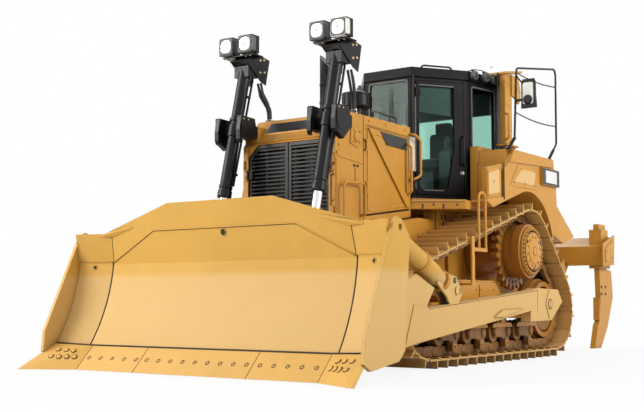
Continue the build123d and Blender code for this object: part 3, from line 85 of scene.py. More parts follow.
# ---- materials ----
class Nodes:
    """Small writer of the node tree of a new material or world."""

    def __init__(self, name, world=False):
        self.owner = (bpy.data.worlds if world else bpy.data.materials).new(name)
        self.owner.use_nodes = True
        self.tree = self.owner.node_tree
        self.tree.nodes.clear()
        self.out = self.add("ShaderNodeOutputWorld" if world else "ShaderNodeOutputMaterial")
        self.coords = self.add("ShaderNodeTexCoord")

    def add(self, kind, **values):
        node = self.tree.nodes.new(kind)
        for key, value in values.items():
            if hasattr(node, key):
                setattr(node, key, value)
            else:
                node.inputs[key.replace("_", " ")].default_value = value
        return node

    def link(self, source, target):
        self.tree.links.new(source, target)

    def noise(self, scale, detail=4.0, rough=0.55, stretch=(1, 1, 1)):
        mapping = self.add("ShaderNodeMapping")
        mapping.inputs["Scale"].default_value = stretch
        self.link(self.coords.outputs["Object"], mapping.inputs["Vector"])
        node = self.add("ShaderNodeTexNoise")
        node.inputs["Scale"].default_value = scale
        node.inputs["Detail"].default_value = detail
        node.inputs["Roughness"].default_value = rough
        self.link(mapping.outputs[0], node.inputs["Vector"])
        return node.outputs["Fac"]

    def ramp(self, source, stops):
        """Colour or grey ramp: stops are (position, value or colour)."""
        node = self.add("ShaderNodeValToRGB")
        while len(node.color_ramp.elements) < len(stops):
            node.color_ramp.elements.new(0.5)
        for element, (position, value) in zip(node.color_ramp.elements, stops):
            element.position = position
            colour = value if isinstance(value, tuple) else (value,) * 3
            element.color = (*colour, 1)
        self.link(source, node.inputs["Fac"])
        return node.outputs["Color"]

    def mix(self, factor, first, second, blend="MIX"):
        node = self.add("ShaderNodeMix", data_type="RGBA", blend_type=blend)
        for socket, value in ((node.inputs[0], factor), (node.inputs[6], first),
                (node.inputs[7], second)):
            if isinstance(value, bpy.types.NodeSocket):
                self.link(value, socket)
            elif isinstance(value, tuple):
                socket.default_value = (*value, 1)
            elif socket == node.inputs[0]:
                socket.default_value = value
            else:
                socket.default_value = (value, value, value, 1)
        return node.outputs[2]

    def rounded(self, radius):
        """Normal with every edge rounded by a radius."""
        node = self.add("ShaderNodeBevel", samples=3)
        node.inputs["Radius"].default_value = radius
        return node.outputs["Normal"]

    def edges(self, radius):
        """Mask that is bright where a face turns within a radius."""
        bevel = self.rounded(radius)
        geometry = self.add("ShaderNodeNewGeometry")
        dot = self.add("ShaderNodeVectorMath", operation="DOT_PRODUCT")
        self.link(bevel, dot.inputs[0])
        self.link(geometry.outputs["Normal"], dot.inputs[1])
        return self.ramp(dot.outputs["Value"], ((0.86, 1.0), (0.985, 0.0)))

    def bump(self, height, strength, distance, normal=None):
        node = self.add("ShaderNodeBump")
        node.inputs["Strength"].default_value = strength
        node.inputs["Distance"].default_value = distance
        self.link(height, node.inputs["Height"])
        if normal is not None:
            self.link(normal, node.inputs["Normal"])
        return node.outputs["Normal"]

    def surface(self, colour, roughness, normal=None, **values):
        shader = self.add("ShaderNodeBsdfPrincipled")
        for key, value in values.items():
            shader.inputs[key.replace("_", " ")].default_value = value
        for socket, value in (("Base Color", colour), ("Roughness", roughness)):
            if isinstance(value, bpy.types.NodeSocket):
                self.link(value, shader.inputs[socket])
            elif isinstance(value, tuple):
                shader.inputs[socket].default_value = (*value, 1)
            else:
                shader.inputs[socket].default_value = value
        if normal is not None:
            self.link(normal, shader.inputs["Normal"])
        self.link(shader.outputs[0], self.out.inputs["Surface"])
        return shader

    def in_view(self):
        """Mask of the rays that are seen directly, in a mirror or through glass."""
        path = self.add("ShaderNodeLightPath")
        mask = path.outputs["Is Camera Ray"]
        for ray in ("Is Glossy Ray", "Is Transmission Ray"):
            both = self.add("ShaderNodeMath", operation="MAXIMUM")
            self.link(mask, both.inputs[0])
            self.link(path.outputs[ray], both.inputs[1])
            mask = both.outputs[0]
        return mask

    def two_shaders(self, factor, first, second):
        """Surface that goes from the first shader to the second with a factor."""
        join = self.add("ShaderNodeMixShader")
        for source, socket in zip((factor, first.outputs[0], second.outputs[0]), join.inputs):
            self.link(source, socket)
        self.link(join.outputs[0], self.out.inputs["Surface"])


def tinted(colour, factor):
    return tuple(min(1.0, c * factor) for c in colour)


def painted(name, colour, rough=0.42, coat=0.08, dust=0.12, grime=0.25, radius=0.006, wear=0.15,
            shine=0.3, low_reflection=None):
    """Sprayed paint: orange peel, soft patches, dust that settles, rubbed edges, painted shade in
    crevices and, when asked, a painted floor reflection that pales the lower part.
    """
    n = Nodes(name)
    patches = n.noise(1.3, 5.0)
    fine = n.noise(55.0, 3.0)
    base = n.mix(n.ramp(patches, ((0.3, 0.0), (0.75, 1.0))), tinted(colour, 0.93),
                 tinted(colour, 1.05))
    streaks = n.noise(3.0, 6.0, 0.7, (1.0, 1.0, 0.22))
    mask = n.ramp(streaks, ((0.5, 0.0), (0.72, grime)))
    base = n.mix(mask, base, tinted(colour, 0.62))
    # Painted reflection: below a height the colour turns paler, standing in for the bright floor
    # reflected in the lower part.
    if low_reflection:
        height = n.add("ShaderNodeSeparateXYZ")
        n.link(n.coords.outputs["Object"], height.inputs[0])
        base = n.mix(n.ramp(height.outputs["Z"], ((0.90, 0.75), (0.96, 0.0))), base, low_reflection)
    geometry = n.add("ShaderNodeNewGeometry")
    split = n.add("ShaderNodeSeparateXYZ")
    n.link(geometry.outputs["Normal"], split.inputs[0])
    level = n.ramp(split.outputs["Z"], ((0.6, 0.0), (1.0, dust)))
    base = n.mix(level, base, (0.62, 0.5, 0.34))
    # Painted shade: an ambient occlusion mask darkens the paint in crevices and between parts.
    crevice_shade = n.add("ShaderNodeAmbientOcclusion", samples=8)
    crevice_shade.inputs["Distance"].default_value = 0.16
    base = n.mix(n.ramp(crevice_shade.outputs["AO"], ((0.25, 0.8), (0.8, 0.0))), base,
                 tinted(colour, 0.22))
    rubbed = n.mix(n.edges(radius * 0.8), 0.0, n.ramp(fine, ((0.45, 0.0), (0.6, wear))))
    base = n.mix(rubbed, base, tinted(colour, 1.45))
    roughness = n.ramp(n.noise(9.0, 4.0), ((0.3, rough - 0.06), (0.8, rough + 0.1)))
    peel = n.bump(n.noise(420.0, 2.0), 0.05, 0.001, n.rounded(radius))
    n.surface(base, roughness, peel, Coat_Weight=coat, Coat_Roughness=0.12,
              Specular_IOR_Level=shine)
    return n.owner


def steel(name, colour, rough=0.42, metal=0.9, radius=0.004, grime=0.35):
    """Bare or dark metal with fine brushing and oily patches."""
    n = Nodes(name)
    patches = n.noise(4.0, 6.0, 0.65)
    base = n.mix(n.ramp(patches, ((0.4, 0.0), (0.75, grime))), colour, tinted(colour, 0.35))
    roughness = n.ramp(n.noise(22.0, 5.0), ((0.3, rough - 0.1), (0.8, rough + 0.18)))
    normal = n.bump(n.noise(160.0, 3.0), 0.12, 0.002, n.rounded(radius))
    n.surface(base, roughness, normal, Metallic=metal)
    return n.owner


def chrome(name):
    n = Nodes(name)
    lines = n.noise(8.0, 3.0, 0.5, (1, 1, 60))
    roughness = n.ramp(lines, ((0.3, 0.07), (0.8, 0.2)))
    base = n.mix(n.ramp(n.noise(5.0), ((0.45, 0.0), (0.8, 0.5))), (0.78, 0.79, 0.81),
                 (0.6, 0.6, 0.62))
    n.surface(base, roughness, n.rounded(0.003), Metallic=1.0)
    return n.owner


def rubber(name, colour=(0.018, 0.018, 0.02), rough=0.62):
    n = Nodes(name)
    base = n.mix(n.ramp(n.noise(30.0), ((0.4, 0.0), (0.7, 0.6))), colour, tinted(colour, 2.4))
    ribs = n.add("ShaderNodeTexWave", wave_type="BANDS")
    ribs.inputs["Scale"].default_value = 90.0
    n.link(n.coords.outputs["Object"], ribs.inputs["Vector"])
    n.surface(base, rough, n.bump(ribs.outputs["Fac"], 0.12, 0.001, n.rounded(0.002)))
    return n.owner


def tinted_glass(name):
    """Green-tinted pane: clear, with a little haze and more reflection at a low angle."""
    n = Nodes(name)
    glass = n.add("ShaderNodeBsdfGlossy")
    glass.inputs["Color"].default_value = (0.92, 0.97, 0.95, 1)
    n.link(n.ramp(n.noise(2.0), ((0.3, 0.015), (0.8, 0.05))), glass.inputs["Roughness"])
    clear = n.add("ShaderNodeBsdfTransparent")
    haze = n.ramp(n.noise(1.2, 4.0), ((0.3, (0.70, 0.84, 0.80)), (0.8, (0.76, 0.88, 0.84))))
    n.link(haze, clear.inputs["Color"])
    facing = n.add("ShaderNodeLayerWeight", Blend=0.3)
    shine = n.ramp(facing.outputs["Facing"], ((0.0, 0.008), (0.6, 0.02), (1.0, 0.3)))
    n.two_shaders(shine, clear, glass)
    return n.owner


def glowing(name, colour, strength):
    """Lens of a lamp: pale moulded plastic, lit a little from behind."""
    n = Nodes(name)
    cells = n.add("ShaderNodeTexVoronoi")
    cells.inputs["Scale"].default_value = 60.0
    n.link(n.coords.outputs["Object"], cells.inputs["Vector"])
    base = n.mix(n.ramp(cells.outputs["Distance"], ((0.0, 0.0), (0.6, 1.0))), colour,
                 tinted(colour, 0.8))
    shader = n.surface(base, 0.12, n.bump(cells.outputs["Distance"], 0.3, 0.002), Coat_Weight=0.6)
    n.link(base, shader.inputs["Emission Color"])
    shader.inputs["Emission Strength"].default_value = strength
    return n.owner


def cloth(name, colour):
    """Woven seat cover."""
    n = Nodes(name)
    weave = n.add("ShaderNodeTexWave", wave_type="BANDS", bands_direction="DIAGONAL")
    weave.inputs["Scale"].default_value = 160.0
    weave.inputs["Distortion"].default_value = 1.5
    n.link(n.coords.outputs["Object"], weave.inputs["Vector"])
    base = n.mix(weave.outputs["Fac"], colour, tinted(colour, 1.9))
    n.surface(base, 0.85, n.bump(weave.outputs["Fac"], 0.4, 0.002), Sheen_Weight=0.3)
    return n.owner


def moulded(name, colour, rough=0.5):
    """Grained plastic."""
    n = Nodes(name)
    base = n.mix(n.ramp(n.noise(7.0), ((0.4, 0.0), (0.7, 0.5))), colour, tinted(colour, 1.5))
    n.surface(base, rough, n.bump(n.noise(260.0, 2.0), 0.2, 0.001, n.rounded(0.003)))
    return n.owner


YELLOW = (0.60, 0.285, 0.038)
# The blade's yellow is the body yellow made paler: a painted sheen on the blade and push arms.
BLADE_YELLOW_WITH_SHEEN = (0.64, 0.375, 0.085)
BLACK = (0.008, 0.0075, 0.008)


def make_materials(settings):
    yellow, blade, black = tuple(settings.yellow), tuple(settings.blade), tuple(settings.black)
    return {
        "yellow_paint": painted("yellow_paint", yellow),
        # The blade's finish is the body yellow made paler as a painted sheen, and paler again low
        # down as a painted reflection of the floor.
        "blade_paint": painted("blade_paint", blade, rough=0.55, coat=0.0, shine=0.15,
                low_reflection=(0.68, 0.455, 0.19), dust=0.1, grime=0.12),
        # Dark brown tone: the chains' yellow paint darkened, partly for oily dirt and partly as
        # painted shade between the shoes, links and rollers.
        "track_steel": painted("track_steel", (0.30, 0.145, 0.040), rough=0.5, coat=0.05, dust=0.15,
                grime=0.6, wear=0.5),
        "shoe_paint": painted("shoe_paint", (0.62, 0.36, 0.11), rough=0.45, coat=0.1, dust=0.15,
                grime=0.35, wear=0.3),
        "drive_paint": painted("drive_paint", (0.42, 0.175, 0.025), rough=0.4, coat=0.2, grime=0.5,
                wear=0.2),
        "pale_paint": painted("pale_paint", (0.72, 0.47, 0.19), dust=0.05, grime=0.1),
        "edge_steel": painted("edge_steel", (0.72, 0.42, 0.10), rough=0.42, coat=0.1, grime=0.2,
                radius=0.004),
        "black_paint": painted("black_paint", black, rough=0.36, coat=0.06, shine=0.2, dust=0.05,
                grime=0.3),
        "grey_paint": painted("grey_paint", (0.007, 0.0065, 0.007), rough=0.42, coat=0.0, shine=0.1,
                dust=0.1, grime=0.2),
        "grille_paint": painted("grille_paint", (0.018, 0.017, 0.016), rough=0.42, coat=0.1,
                dust=0.06, grime=0.3, radius=0.002),
        "chrome_rod": chrome("chrome_rod"),
        "cab_glass": tinted_glass("cab_glass"),
        "rubber": rubber("rubber"),
        "seat_fabric": cloth("seat_fabric", (0.05, 0.05, 0.055)),
        "cab_trim": moulded("cab_trim", (0.09, 0.09, 0.095)),
        "dark_steel": steel("dark_steel", (0.09, 0.085, 0.08), rough=0.5, metal=0.6),
        "zinc": steel("zinc", (0.62, 0.5, 0.28), rough=0.35, metal=0.9, radius=0.002),
        "bright_steel": steel("bright_steel", (0.6, 0.6, 0.6), rough=0.3, metal=1.0, radius=0.002),
        "lamp_shell": moulded("lamp_shell", (0.72, 0.72, 0.70), 0.35),
        "lamp_lens": glowing("lamp_lens", (0.86, 0.88, 0.9), 0.25),
        "red_lens": glowing("red_lens", (0.7, 0.03, 0.01), 0.15),
        "mirror_glass": steel("mirror_glass", (0.7, 0.72, 0.74), rough=0.12, metal=1.0,
                radius=0.001, grime=0.1),
        "blank_plate": moulded("blank_plate", (0.012, 0.012, 0.013), 0.3),
        "dark_gap": moulded("dark_gap", (0.02, 0.012, 0.006), 0.8),
        "pale_plate": moulded("pale_plate", (0.66, 0.60, 0.48), 0.45),
    }


def node_material(name):
    """Which finish a CAD node wears."""
    if name.startswith(("track_left", "track_right", "bogies")):
        return "track_steel"
    if name.startswith(("sprocket", "idlers", "final_drive")):
        return "drive_paint"
    if name.startswith(("lift_barrel", "lamp_bracket", "lift_yokes", "exhaust", "air_pre",
                        "guard_rail")):
        return "black_paint"
    if name.startswith(("lift_rod", "ripper_rods")):
        return "chrome_rod"
    if name.startswith(("cab_glass", "door_glass")):
        return "cab_glass"
    if name.startswith("cab"):
        return "grey_paint"
    if name.startswith("grille") or name == "radiator":
        return "grille_paint"
    if name == "lift_hoses":
        return "rubber"
    if name == "seat":
        return "seat_fabric"
    if name == "consoles":
        return "cab_trim"
    if name == "cutting_edge":
        return "edge_steel"
    if name in ("moldboard", "end_plates", "push_arm_left", "push_arm_right", "braces"):
        return "blade_paint"
    return "yellow_paint"


# ---- mesh pieces ----
class Piece:
    """One mesh under construction, in the row frame."""

    def __init__(self, name, body, slot=None):
        self.name, self.body, self.slot = name, body, slot
        self.bm = bmesh.new()
        self.materials = []
        self.index = 0

    def use(self, material):
        """Later faces take this material."""
        if material not in self.materials:
            self.materials.append(material)
        self.index = self.materials.index(material)
        return self

    def faces(self, points, faces):
        verts = [self.bm.verts.new(p) for p in points]
        for face in faces:
            self.bm.faces.new([verts[i] for i in face]).material_index = self.index

    def prism(self, outline, push):
        """Solid from a flat closed outline, pushed along a vector."""
        outline = [Vector(p) for p in outline]
        push = Vector(push)
        count = len(outline)
        points = outline + [p + push for p in outline]
        sides = [(i, (i + 1) % count, count + (i + 1) % count, count + i) for i in range(count)]
        self.faces(points, [tuple(range(count))[::-1], tuple(range(count, 2 * count))] + sides)

    def side_prism(self, x, outline, push):
        """Solid from an outline of (y, z) points at an x, pushed along X."""
        self.prism([at(x, y, z) for y, z in outline], (push, 0, 0))

    def box(self, low, high):
        (x0, y0, z0), (x1, y1, z1) = low, high
        self.prism([(x0, y0, z0), (x1, y0, z0), (x1, y1, z0), (x0, y1, z0)], (0, 0, z1 - z0))

    def rings(self, rings, closed_ends=True, loop=False):
        """Smooth skin over rings of points."""
        verts = [[self.bm.verts.new(p) for p in ring] for ring in rings]
        count = len(verts[0])
        pairs = list(zip(verts, verts[1:]))
        if loop:
            pairs.append((verts[-1], verts[0]))
        for a, b in pairs:
            for i in range(count):
                f = self.bm.faces.new((a[i], a[(i + 1) % count], b[(i + 1) % count], b[i]))
                f.material_index = self.index
                f.smooth = True
        if closed_ends and not loop:
            for ring in (verts[0][::-1], verts[-1]):
                self.bm.faces.new(ring).material_index = self.index

    def lathe(self, origin, axis, profile, count=24):
        """Turned form: the profile is (distance along the axis, radius)."""
        origin, axis = Vector(origin), Vector(axis).normalized()
        side = axis.orthogonal().normalized()
        other = axis.cross(side)
        rings = []
        for along, radius in profile:
            ring = []
            for i in range(count):
                angle = 2 * math.pi * i / count
                around = side * math.cos(angle) + other * math.sin(angle)
                ring.append(origin + axis * along + around * radius)
            rings.append(ring)
        self.rings(rings)

    def rod(self, start, end, radius, count=16):
        start, end = Vector(start), Vector(end)
        self.lathe(start, end - start, ((0, radius), ((end - start).length, radius)), count)

    def bolt(self, origin, axis, size=0.012, tall=None):
        """Hexagon head on a washer."""
        tall = tall or size * 0.75
        self.lathe(origin, axis, ((-0.002, size * 1.35), (size * 0.2, size * 1.35),
                (size * 0.2, size * 1.0)), 14)
        self.lathe(origin, axis, ((0, size), (tall * 0.85, size), (tall, size * 0.82)), 6)

    def side_bolts(self, side, x, places, size):
        """Bolt heads at (y, z) places on a face that looks sideways."""
        for y, z in places:
            self.bolt(at(x, y, z), (side, 0, 0), size)

    def tube(self, points, radius, count=12, loop=False):
        """Round tube along a smooth line of points."""
        points = [Vector(p) for p in points]
        total = len(points)
        rings = []
        side = None
        for i, p in enumerate(points):
            if loop:
                run = points[(i + 1) % total] - points[i - 1]
            else:
                run = points[min(i + 1, total - 1)] - points[max(i - 1, 0)]
            run.normalize()
            if side is None:
                side = run.orthogonal().normalized()
            side = (side - run * side.dot(run)).normalized()
            other = run.cross(side)
            ring = []
            for k in range(count):
                angle = 2 * math.pi * k / count
                ring.append(p + (side * math.cos(angle) + other * math.sin(angle)) * radius)
            rings.append(ring)
        self.rings(rings, loop=loop)

    def done(self, bevel=0.0, angle=35):
        """Turn the mesh into an object that rides on its body."""
        bmesh.ops.recalc_face_normals(self.bm, faces=self.bm.faces)
        mesh = bpy.data.meshes.new(self.name)
        self.bm.to_mesh(mesh)
        self.bm.free()
        obj = bpy.data.objects.new(self.name, mesh)
        bpy.context.scene.collection.objects.link(obj)
        for material in self.materials:
            mesh.materials.append(MATERIALS[material])
        if bevel:
            trim = obj.modifiers.new("edges", "BEVEL")
            trim.width = bevel
            trim.segments = 2
            trim.limit_method = "ANGLE"
            trim.angle_limit = math.radians(angle)
            trim.harden_normals = True
        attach(obj, self.body)
        return obj


def bent(points, bend=0.05, steps=6):
    """Line of points with its corners rounded by a radius."""
    points = [Vector(p) for p in points]
    route = [points[0]]
    for before, corner, after in zip(points, points[1:], points[2:]):
        into, out = (corner - before).normalized(), (after - corner).normalized()
        turn = into.angle(out)
        if turn < 1e-4:
            continue
        cut = min(bend * math.tan(turn / 2), (corner - before).length / 2,
                  (after - corner).length / 2)
        radius = cut / math.tan(turn / 2)
        centre = corner + (out - into).normalized() * (radius / math.cos(turn / 2))
        start = corner - into * cut - centre
        for i in range(steps + 1):
            swing = turn * i / steps
            route.append(centre + start * math.cos(swing) + into * radius * math.sin(swing))
    route.append(points[-1])
    return route


MATERIALS = {}

# ---- blade ----
BOARD = ((-4.345, 0.215), (-4.125, 0.640), (-4.035, 1.050), (-4.158, 1.626))
BLADE_HALF = 1.930
SEAM_X = 1.500
BEAD_WIDTH = 0.016
SWEEP = 0.27
EDGE_LOW = (-4.556, 0.008)
EDGE_TOP = (-4.340, 0.235)
EDGE_HALF = 1.448
TOE = Vector((1.970, -4.843, 0.008))
TOE_TOP = Vector((1.872, -4.454, 0.252))
EDGE_JOINTS = (0.68, 1.448)
EDGE_BOLTS = ((-1.38, -0.74, 5), (-0.60, 0.61, 9), (0.76, 1.36, 5))
TOE_BOLTS = ((1.59, 0.23), (1.67, 0.23), (1.76, 0.23), (1.54, 0.48), (1.61, 0.48), (1.68, 0.48),
             (1.76, 0.48))


def circle_through(a, b, c):
    """Centre and radius of the circle through three (y, z) points."""
    (ax, ay), (bx, by), (cx, cy) = a, b, c
    d = 2 * (ax * (by - cy) + bx * (cy - ay) + cx * (ay - by))
    a2, b2, c2 = ax * ax + ay * ay, bx * bx + by * by, cx * cx + cy * cy
    u = (a2 * (by - cy) + b2 * (cy - ay) + c2 * (ay - by)) / d
    v = (a2 * (cx - bx) + b2 * (ax - cx) + c2 * (bx - ax)) / d
    return u, v, math.hypot(ax - u, ay - v)


BOARD_ROUND = circle_through(*BOARD[:3])


def board_at(x, z, lift=0.0):
    """Point of the moldboard's front face, lifted off it a little."""
    crease, top = BOARD[2:]
    if z > crease[1]:
        y = crease[0] + (top[0] - crease[0]) * (z - crease[1]) / (top[1] - crease[1])
        run = Vector((0, top[0] - crease[0], top[1] - crease[1])).normalized()
        normal = Vector((0, -run.z, run.y))
    else:
        u, v, radius = BOARD_ROUND
        root = math.sqrt(max(0.0, radius * radius - (z - v) ** 2))
        y = u + root if crease[0] > u else u - root
        normal = Vector((0, u - y, v - z)).normalized()
    if normal.y > 0:
        normal = -normal
    if abs(x) > SEAM_X:
        y -= (abs(x) - SEAM_X) * SWEEP
        normal.x = -math.copysign(SWEEP, x) * abs(normal.y)
        normal.normalize()
    return at(x, y, z) + normal * lift


def strip(piece, points, normals, width, lift=0.0015):
    """Thin raised bead along a line of points on a surface."""
    rings = []
    for i, p in enumerate(points):
        run = (points[min(i + 1, len(points) - 1)] - points[max(i - 1, 0)]).normalized()
        n = normals[i] if isinstance(normals, list) else normals
        side = run.cross(n).normalized() * width / 2
        up = n.normalized() * lift
        rings.append([p + side - up, p + side * 0.6 + up, p - side * 0.6 + up, p - side - up])
    piece.rings(rings)


def board_line(points, steps=14):
    """Points on the moldboard between corners given as (x, z)."""
    route = []
    for (x0, z0), (x1, z1) in zip(points, points[1:]):
        count = max(1, int(steps * math.hypot(x1 - x0, z1 - z0)))
        for i in range(count):
            t = i / count
            route.append((x0 + (x1 - x0) * t, z0 + (z1 - z0) * t))
    route.append(points[-1])
    return [board_at(x, z) for x, z in route], [board_at(x, z, 1.0) - board_at(x, z) for x,
            z in route]


def edge_at(x, share, lift=0.0):
    """Point and normal of the cutting edge's face: share 0 at its top and 1 at the ground.
    An end bit is two flat facets that meet along the line from its inner top to its toe."""
    top, low = Vector((EDGE_HALF, *EDGE_TOP)), Vector((EDGE_HALF, *EDGE_LOW))
    reach = abs(x) - EDGE_HALF
    if reach <= 0:
        point = top.lerp(low, share)
        point.x = abs(x)
        first, second = low - top, Vector((1, 0, 0))
    else:
        along = reach / (TOE.x - low.x)
        if along <= share:
            first, second = low - top, TOE - low
            point = top + first * share + second * along
        else:
            along = (reach - share * (TOE.x - TOE_TOP.x)) / (TOE_TOP.x - top.x)
            first, second = TOE - TOE_TOP, TOE_TOP - top
            point = top + first * share + second * along
    normal = first.cross(second).normalized()
    if normal.y > 0:
        normal = -normal
    if x < 0:
        point.x, normal.x = -point.x, -normal.x
    return at(*point) + normal * lift, normal


def make_blade_trim(sizes):
    """Weld beads, seams and tabs on the face of the blade."""
    beads = Piece("blade_beads", "blade").use("blade_paint")
    seams = Piece("blade_seams", "blade").use("dark_gap")
    guard = [(-1.49, 1.07), (-0.879, 1.372), (0.879, 1.372), (1.49, 1.07)]
    strip(beads, *board_line(guard), sizes.bead_width, 0.006)
    line, normals = board_line(guard)
    strip(seams, [p + Vector((0, 0, -0.009)) for p in line], normals, 0.004, 0.003)
    for side in (-1, 1):
        seam = [(side * (SEAM_X + 0.001), 0.24 + i * 0.04) for i in range(22)]
        strip(seams, *board_line(seam, 1), 0.020, 0.0045)
        upper = [(side * (SEAM_X - 0.012), 1.085), (side * (SEAM_X - 0.03), 1.34)]
        strip(seams, *board_line(upper), 0.007, 0.003)
        wing = [(side * (SEAM_X - 0.005), 1.075), (side * (BLADE_HALF - 0.045), 1.075)]
        strip(beads, *board_line(wing), 0.012, 0.005)
        tab = [(1.15, 1.41), (1.19, 1.432), (1.60, 1.35), (1.622, 1.343), (1.624, 1.33),
               (1.44, 1.325)]
        ring = [board_at(side * x, z, 0.004) for x, z in tab]
        push = board_at(side * 1.3, 1.38) - board_at(side * 1.3, 1.38, 0.012)
        beads.prism(ring, push)
        inner = board_line([(side * (BLADE_HALF - 0.046), 0.24 + i * 0.04) for i in range(27)], 1)
        strip(beads, *inner, 0.014, 0.006)
        hole = board_at(side * 1.707, 1.017)
        normal = board_at(side * 1.707, 1.017, 1.0) - hole
        beads.lathe(hole, normal, ((-0.004, 0.028), (0.004, 0.028), (0.005, 0.02), (-0.004, 0.019)),
                    20)
        seams.lathe(hole, normal, ((-0.01, 0.019), (0.001, 0.019)), 20)
    hole = board_at(0.025, 1.321)
    normal = board_at(0.025, 1.321, 1.0) - hole
    seams.lathe(hole, normal, ((-0.01, 0.033), (0.001, 0.033)), 24)
    beads.lathe(hole, normal, ((-0.004, 0.041), (0.004, 0.041), (0.005, 0.033), (-0.004, 0.032)),
                24)
    beads.done()
    seams.done()


def make_edge_bolts():
    """Countersunk bolts along the edge, heads on the end bits and the joints between them."""
    bolts = Piece("edge_bolts", "blade").use("edge_steel")
    seams = Piece("edge_seams", "blade").use("dark_gap")
    for first, last, count in EDGE_BOLTS:
        for i in range(count):
            p, n = edge_at(first + (last - first) * i / (count - 1), 0.5)
            bolts.lathe(p, n, ((-0.004, 0.026), (0.0015, 0.026), (0.0015, 0.022), (-0.003, 0.020)),
                        24)
            bolts.lathe(p, n, ((-0.006, 0.018), (-0.0005, 0.017), (0.0008, 0.009)), 24)
            seams.lathe(p, n, ((-0.006, 0.0212), (0.0004, 0.0212)), 24)
    for side in (-1, 1):
        for x in EDGE_JOINTS:
            ends = [edge_at(side * x, 0.0)[0], edge_at(side * x, 1.0)[0]]
            strip(seams, ends, edge_at(side * x * 0.999, 0.5)[1], 0.007, 0.002)
    tops = [edge_at(x, -0.01)[0] for x in (-1.86, -EDGE_HALF, EDGE_HALF, 1.86)]
    strip(seams, tops, Vector((0, -0.72, 0.69)), 0.022, 0.006)
    for side in (-1, 1):
        for x, share in TOE_BOLTS:
            p, n = edge_at(side * x, share)
            seams.lathe(p, n, ((-0.002, 0.030), (0.002, 0.030)), 20)
            bolts.lathe(p, n, ((0.001, 0.0235), (0.008, 0.022), (0.011, 0.012)), 20)
    bolts.done()
    seams.done()


# ---- tracks ----
GAUGE_HALF = 1.041
SHOE_HALF = 0.305
SHOE_COUNT = 44
SHOE_OUT = 0.072
GROUSER = 0.078
PIN_LINE_Z = 0.150
SPROCKET_Z = 1.261
SPROCKET_R = 0.438
SPROCKET_TEETH, SPROCKET_BOLTS_R = 25, 0.362
IDLER_R = 0.420
IDLERS_Y = (-2.511, 0.700)
LINK_IN, LINK_OUT = 0.057, 0.119
LINK_RISE = 0.062
ROLLER_Z = 0.3243
ROLLERS_Y = tuple(-2.010 + 0.315 * i for i in range(8))


def belt_pins():
    """Pins of the chain in running order, as (y, z)."""
    idler_z = PIN_LINE_Z + IDLER_R
    rounds = (((IDLERS_Y[0], idler_z), IDLER_R), ((IDLERS_Y[1], idler_z), IDLER_R),
              ((0.0, SPROCKET_Z), SPROCKET_R))
    runs = []
    for (c0, r0), (c1, r1) in zip(rounds, rounds[1:] + rounds[:1]):
        dy, dz = c1[0] - c0[0], c1[1] - c0[1]
        out = math.atan2(dz, dy) - math.asin((r1 - r0) / math.hypot(dy, dz)) - math.pi / 2
        start = (c0[0] + r0 * math.cos(out), c0[1] + r0 * math.sin(out))
        end = (c1[0] + r1 * math.cos(out), c1[1] + r1 * math.sin(out))
        runs.append((start, end, out))
    legs = []
    for i, (start, end, out) in enumerate(runs):
        centre, radius = rounds[(i + 1) % 3]
        legs.append((start, end, centre, radius, out, (runs[(i + 1) % 3][2] - out) % (2 * math.pi)))
    pitch = sum(math.dist(leg[0], leg[1]) + leg[3] * leg[5] for leg in legs) / SHOE_COUNT
    pins = []
    for i in range(SHOE_COUNT):
        distance = i * pitch
        for start, end, centre, radius, out, turn in legs:
            run = math.dist(start, end)
            if distance <= run:
                share = distance / run
                pins.append((start[0] + (end[0] - start[0]) * share,
                        start[1] + (end[1] - start[1]) * share))
                break
            distance -= run
            if distance <= radius * turn:
                angle = out + distance / radius
                pins.append((centre[0] + radius * math.cos(angle),
                        centre[1] + radius * math.sin(angle)))
                break
            distance -= radius * turn
    return pins


def shoe_section(long, grouser):
    """Side section of a shoe as (along, out): lips at both ends and the tall bar."""
    edge = long / 2 - 0.0035
    inner = SHOE_OUT - 0.020
    bar = edge - 0.040
    plate = (
        (-edge, inner + 0.006), (-edge + 0.004, inner - 0.004), (-edge + 0.03, inner),
        (edge - 0.012, inner),
        (edge, inner + 0.008), (edge, SHOE_OUT), (edge - 0.008, SHOE_OUT + 0.004),
        (bar + 0.004, SHOE_OUT),
        (bar - 0.024, SHOE_OUT), (-edge + 0.012, SHOE_OUT), (-edge, SHOE_OUT - 0.006),
    )
    rib = ((bar - 0.026, SHOE_OUT - 0.004), (bar - 0.018, SHOE_OUT + grouser),
           (bar - 0.004, SHOE_OUT + grouser),
           (bar + 0.004, SHOE_OUT - 0.004))
    return plate, rib


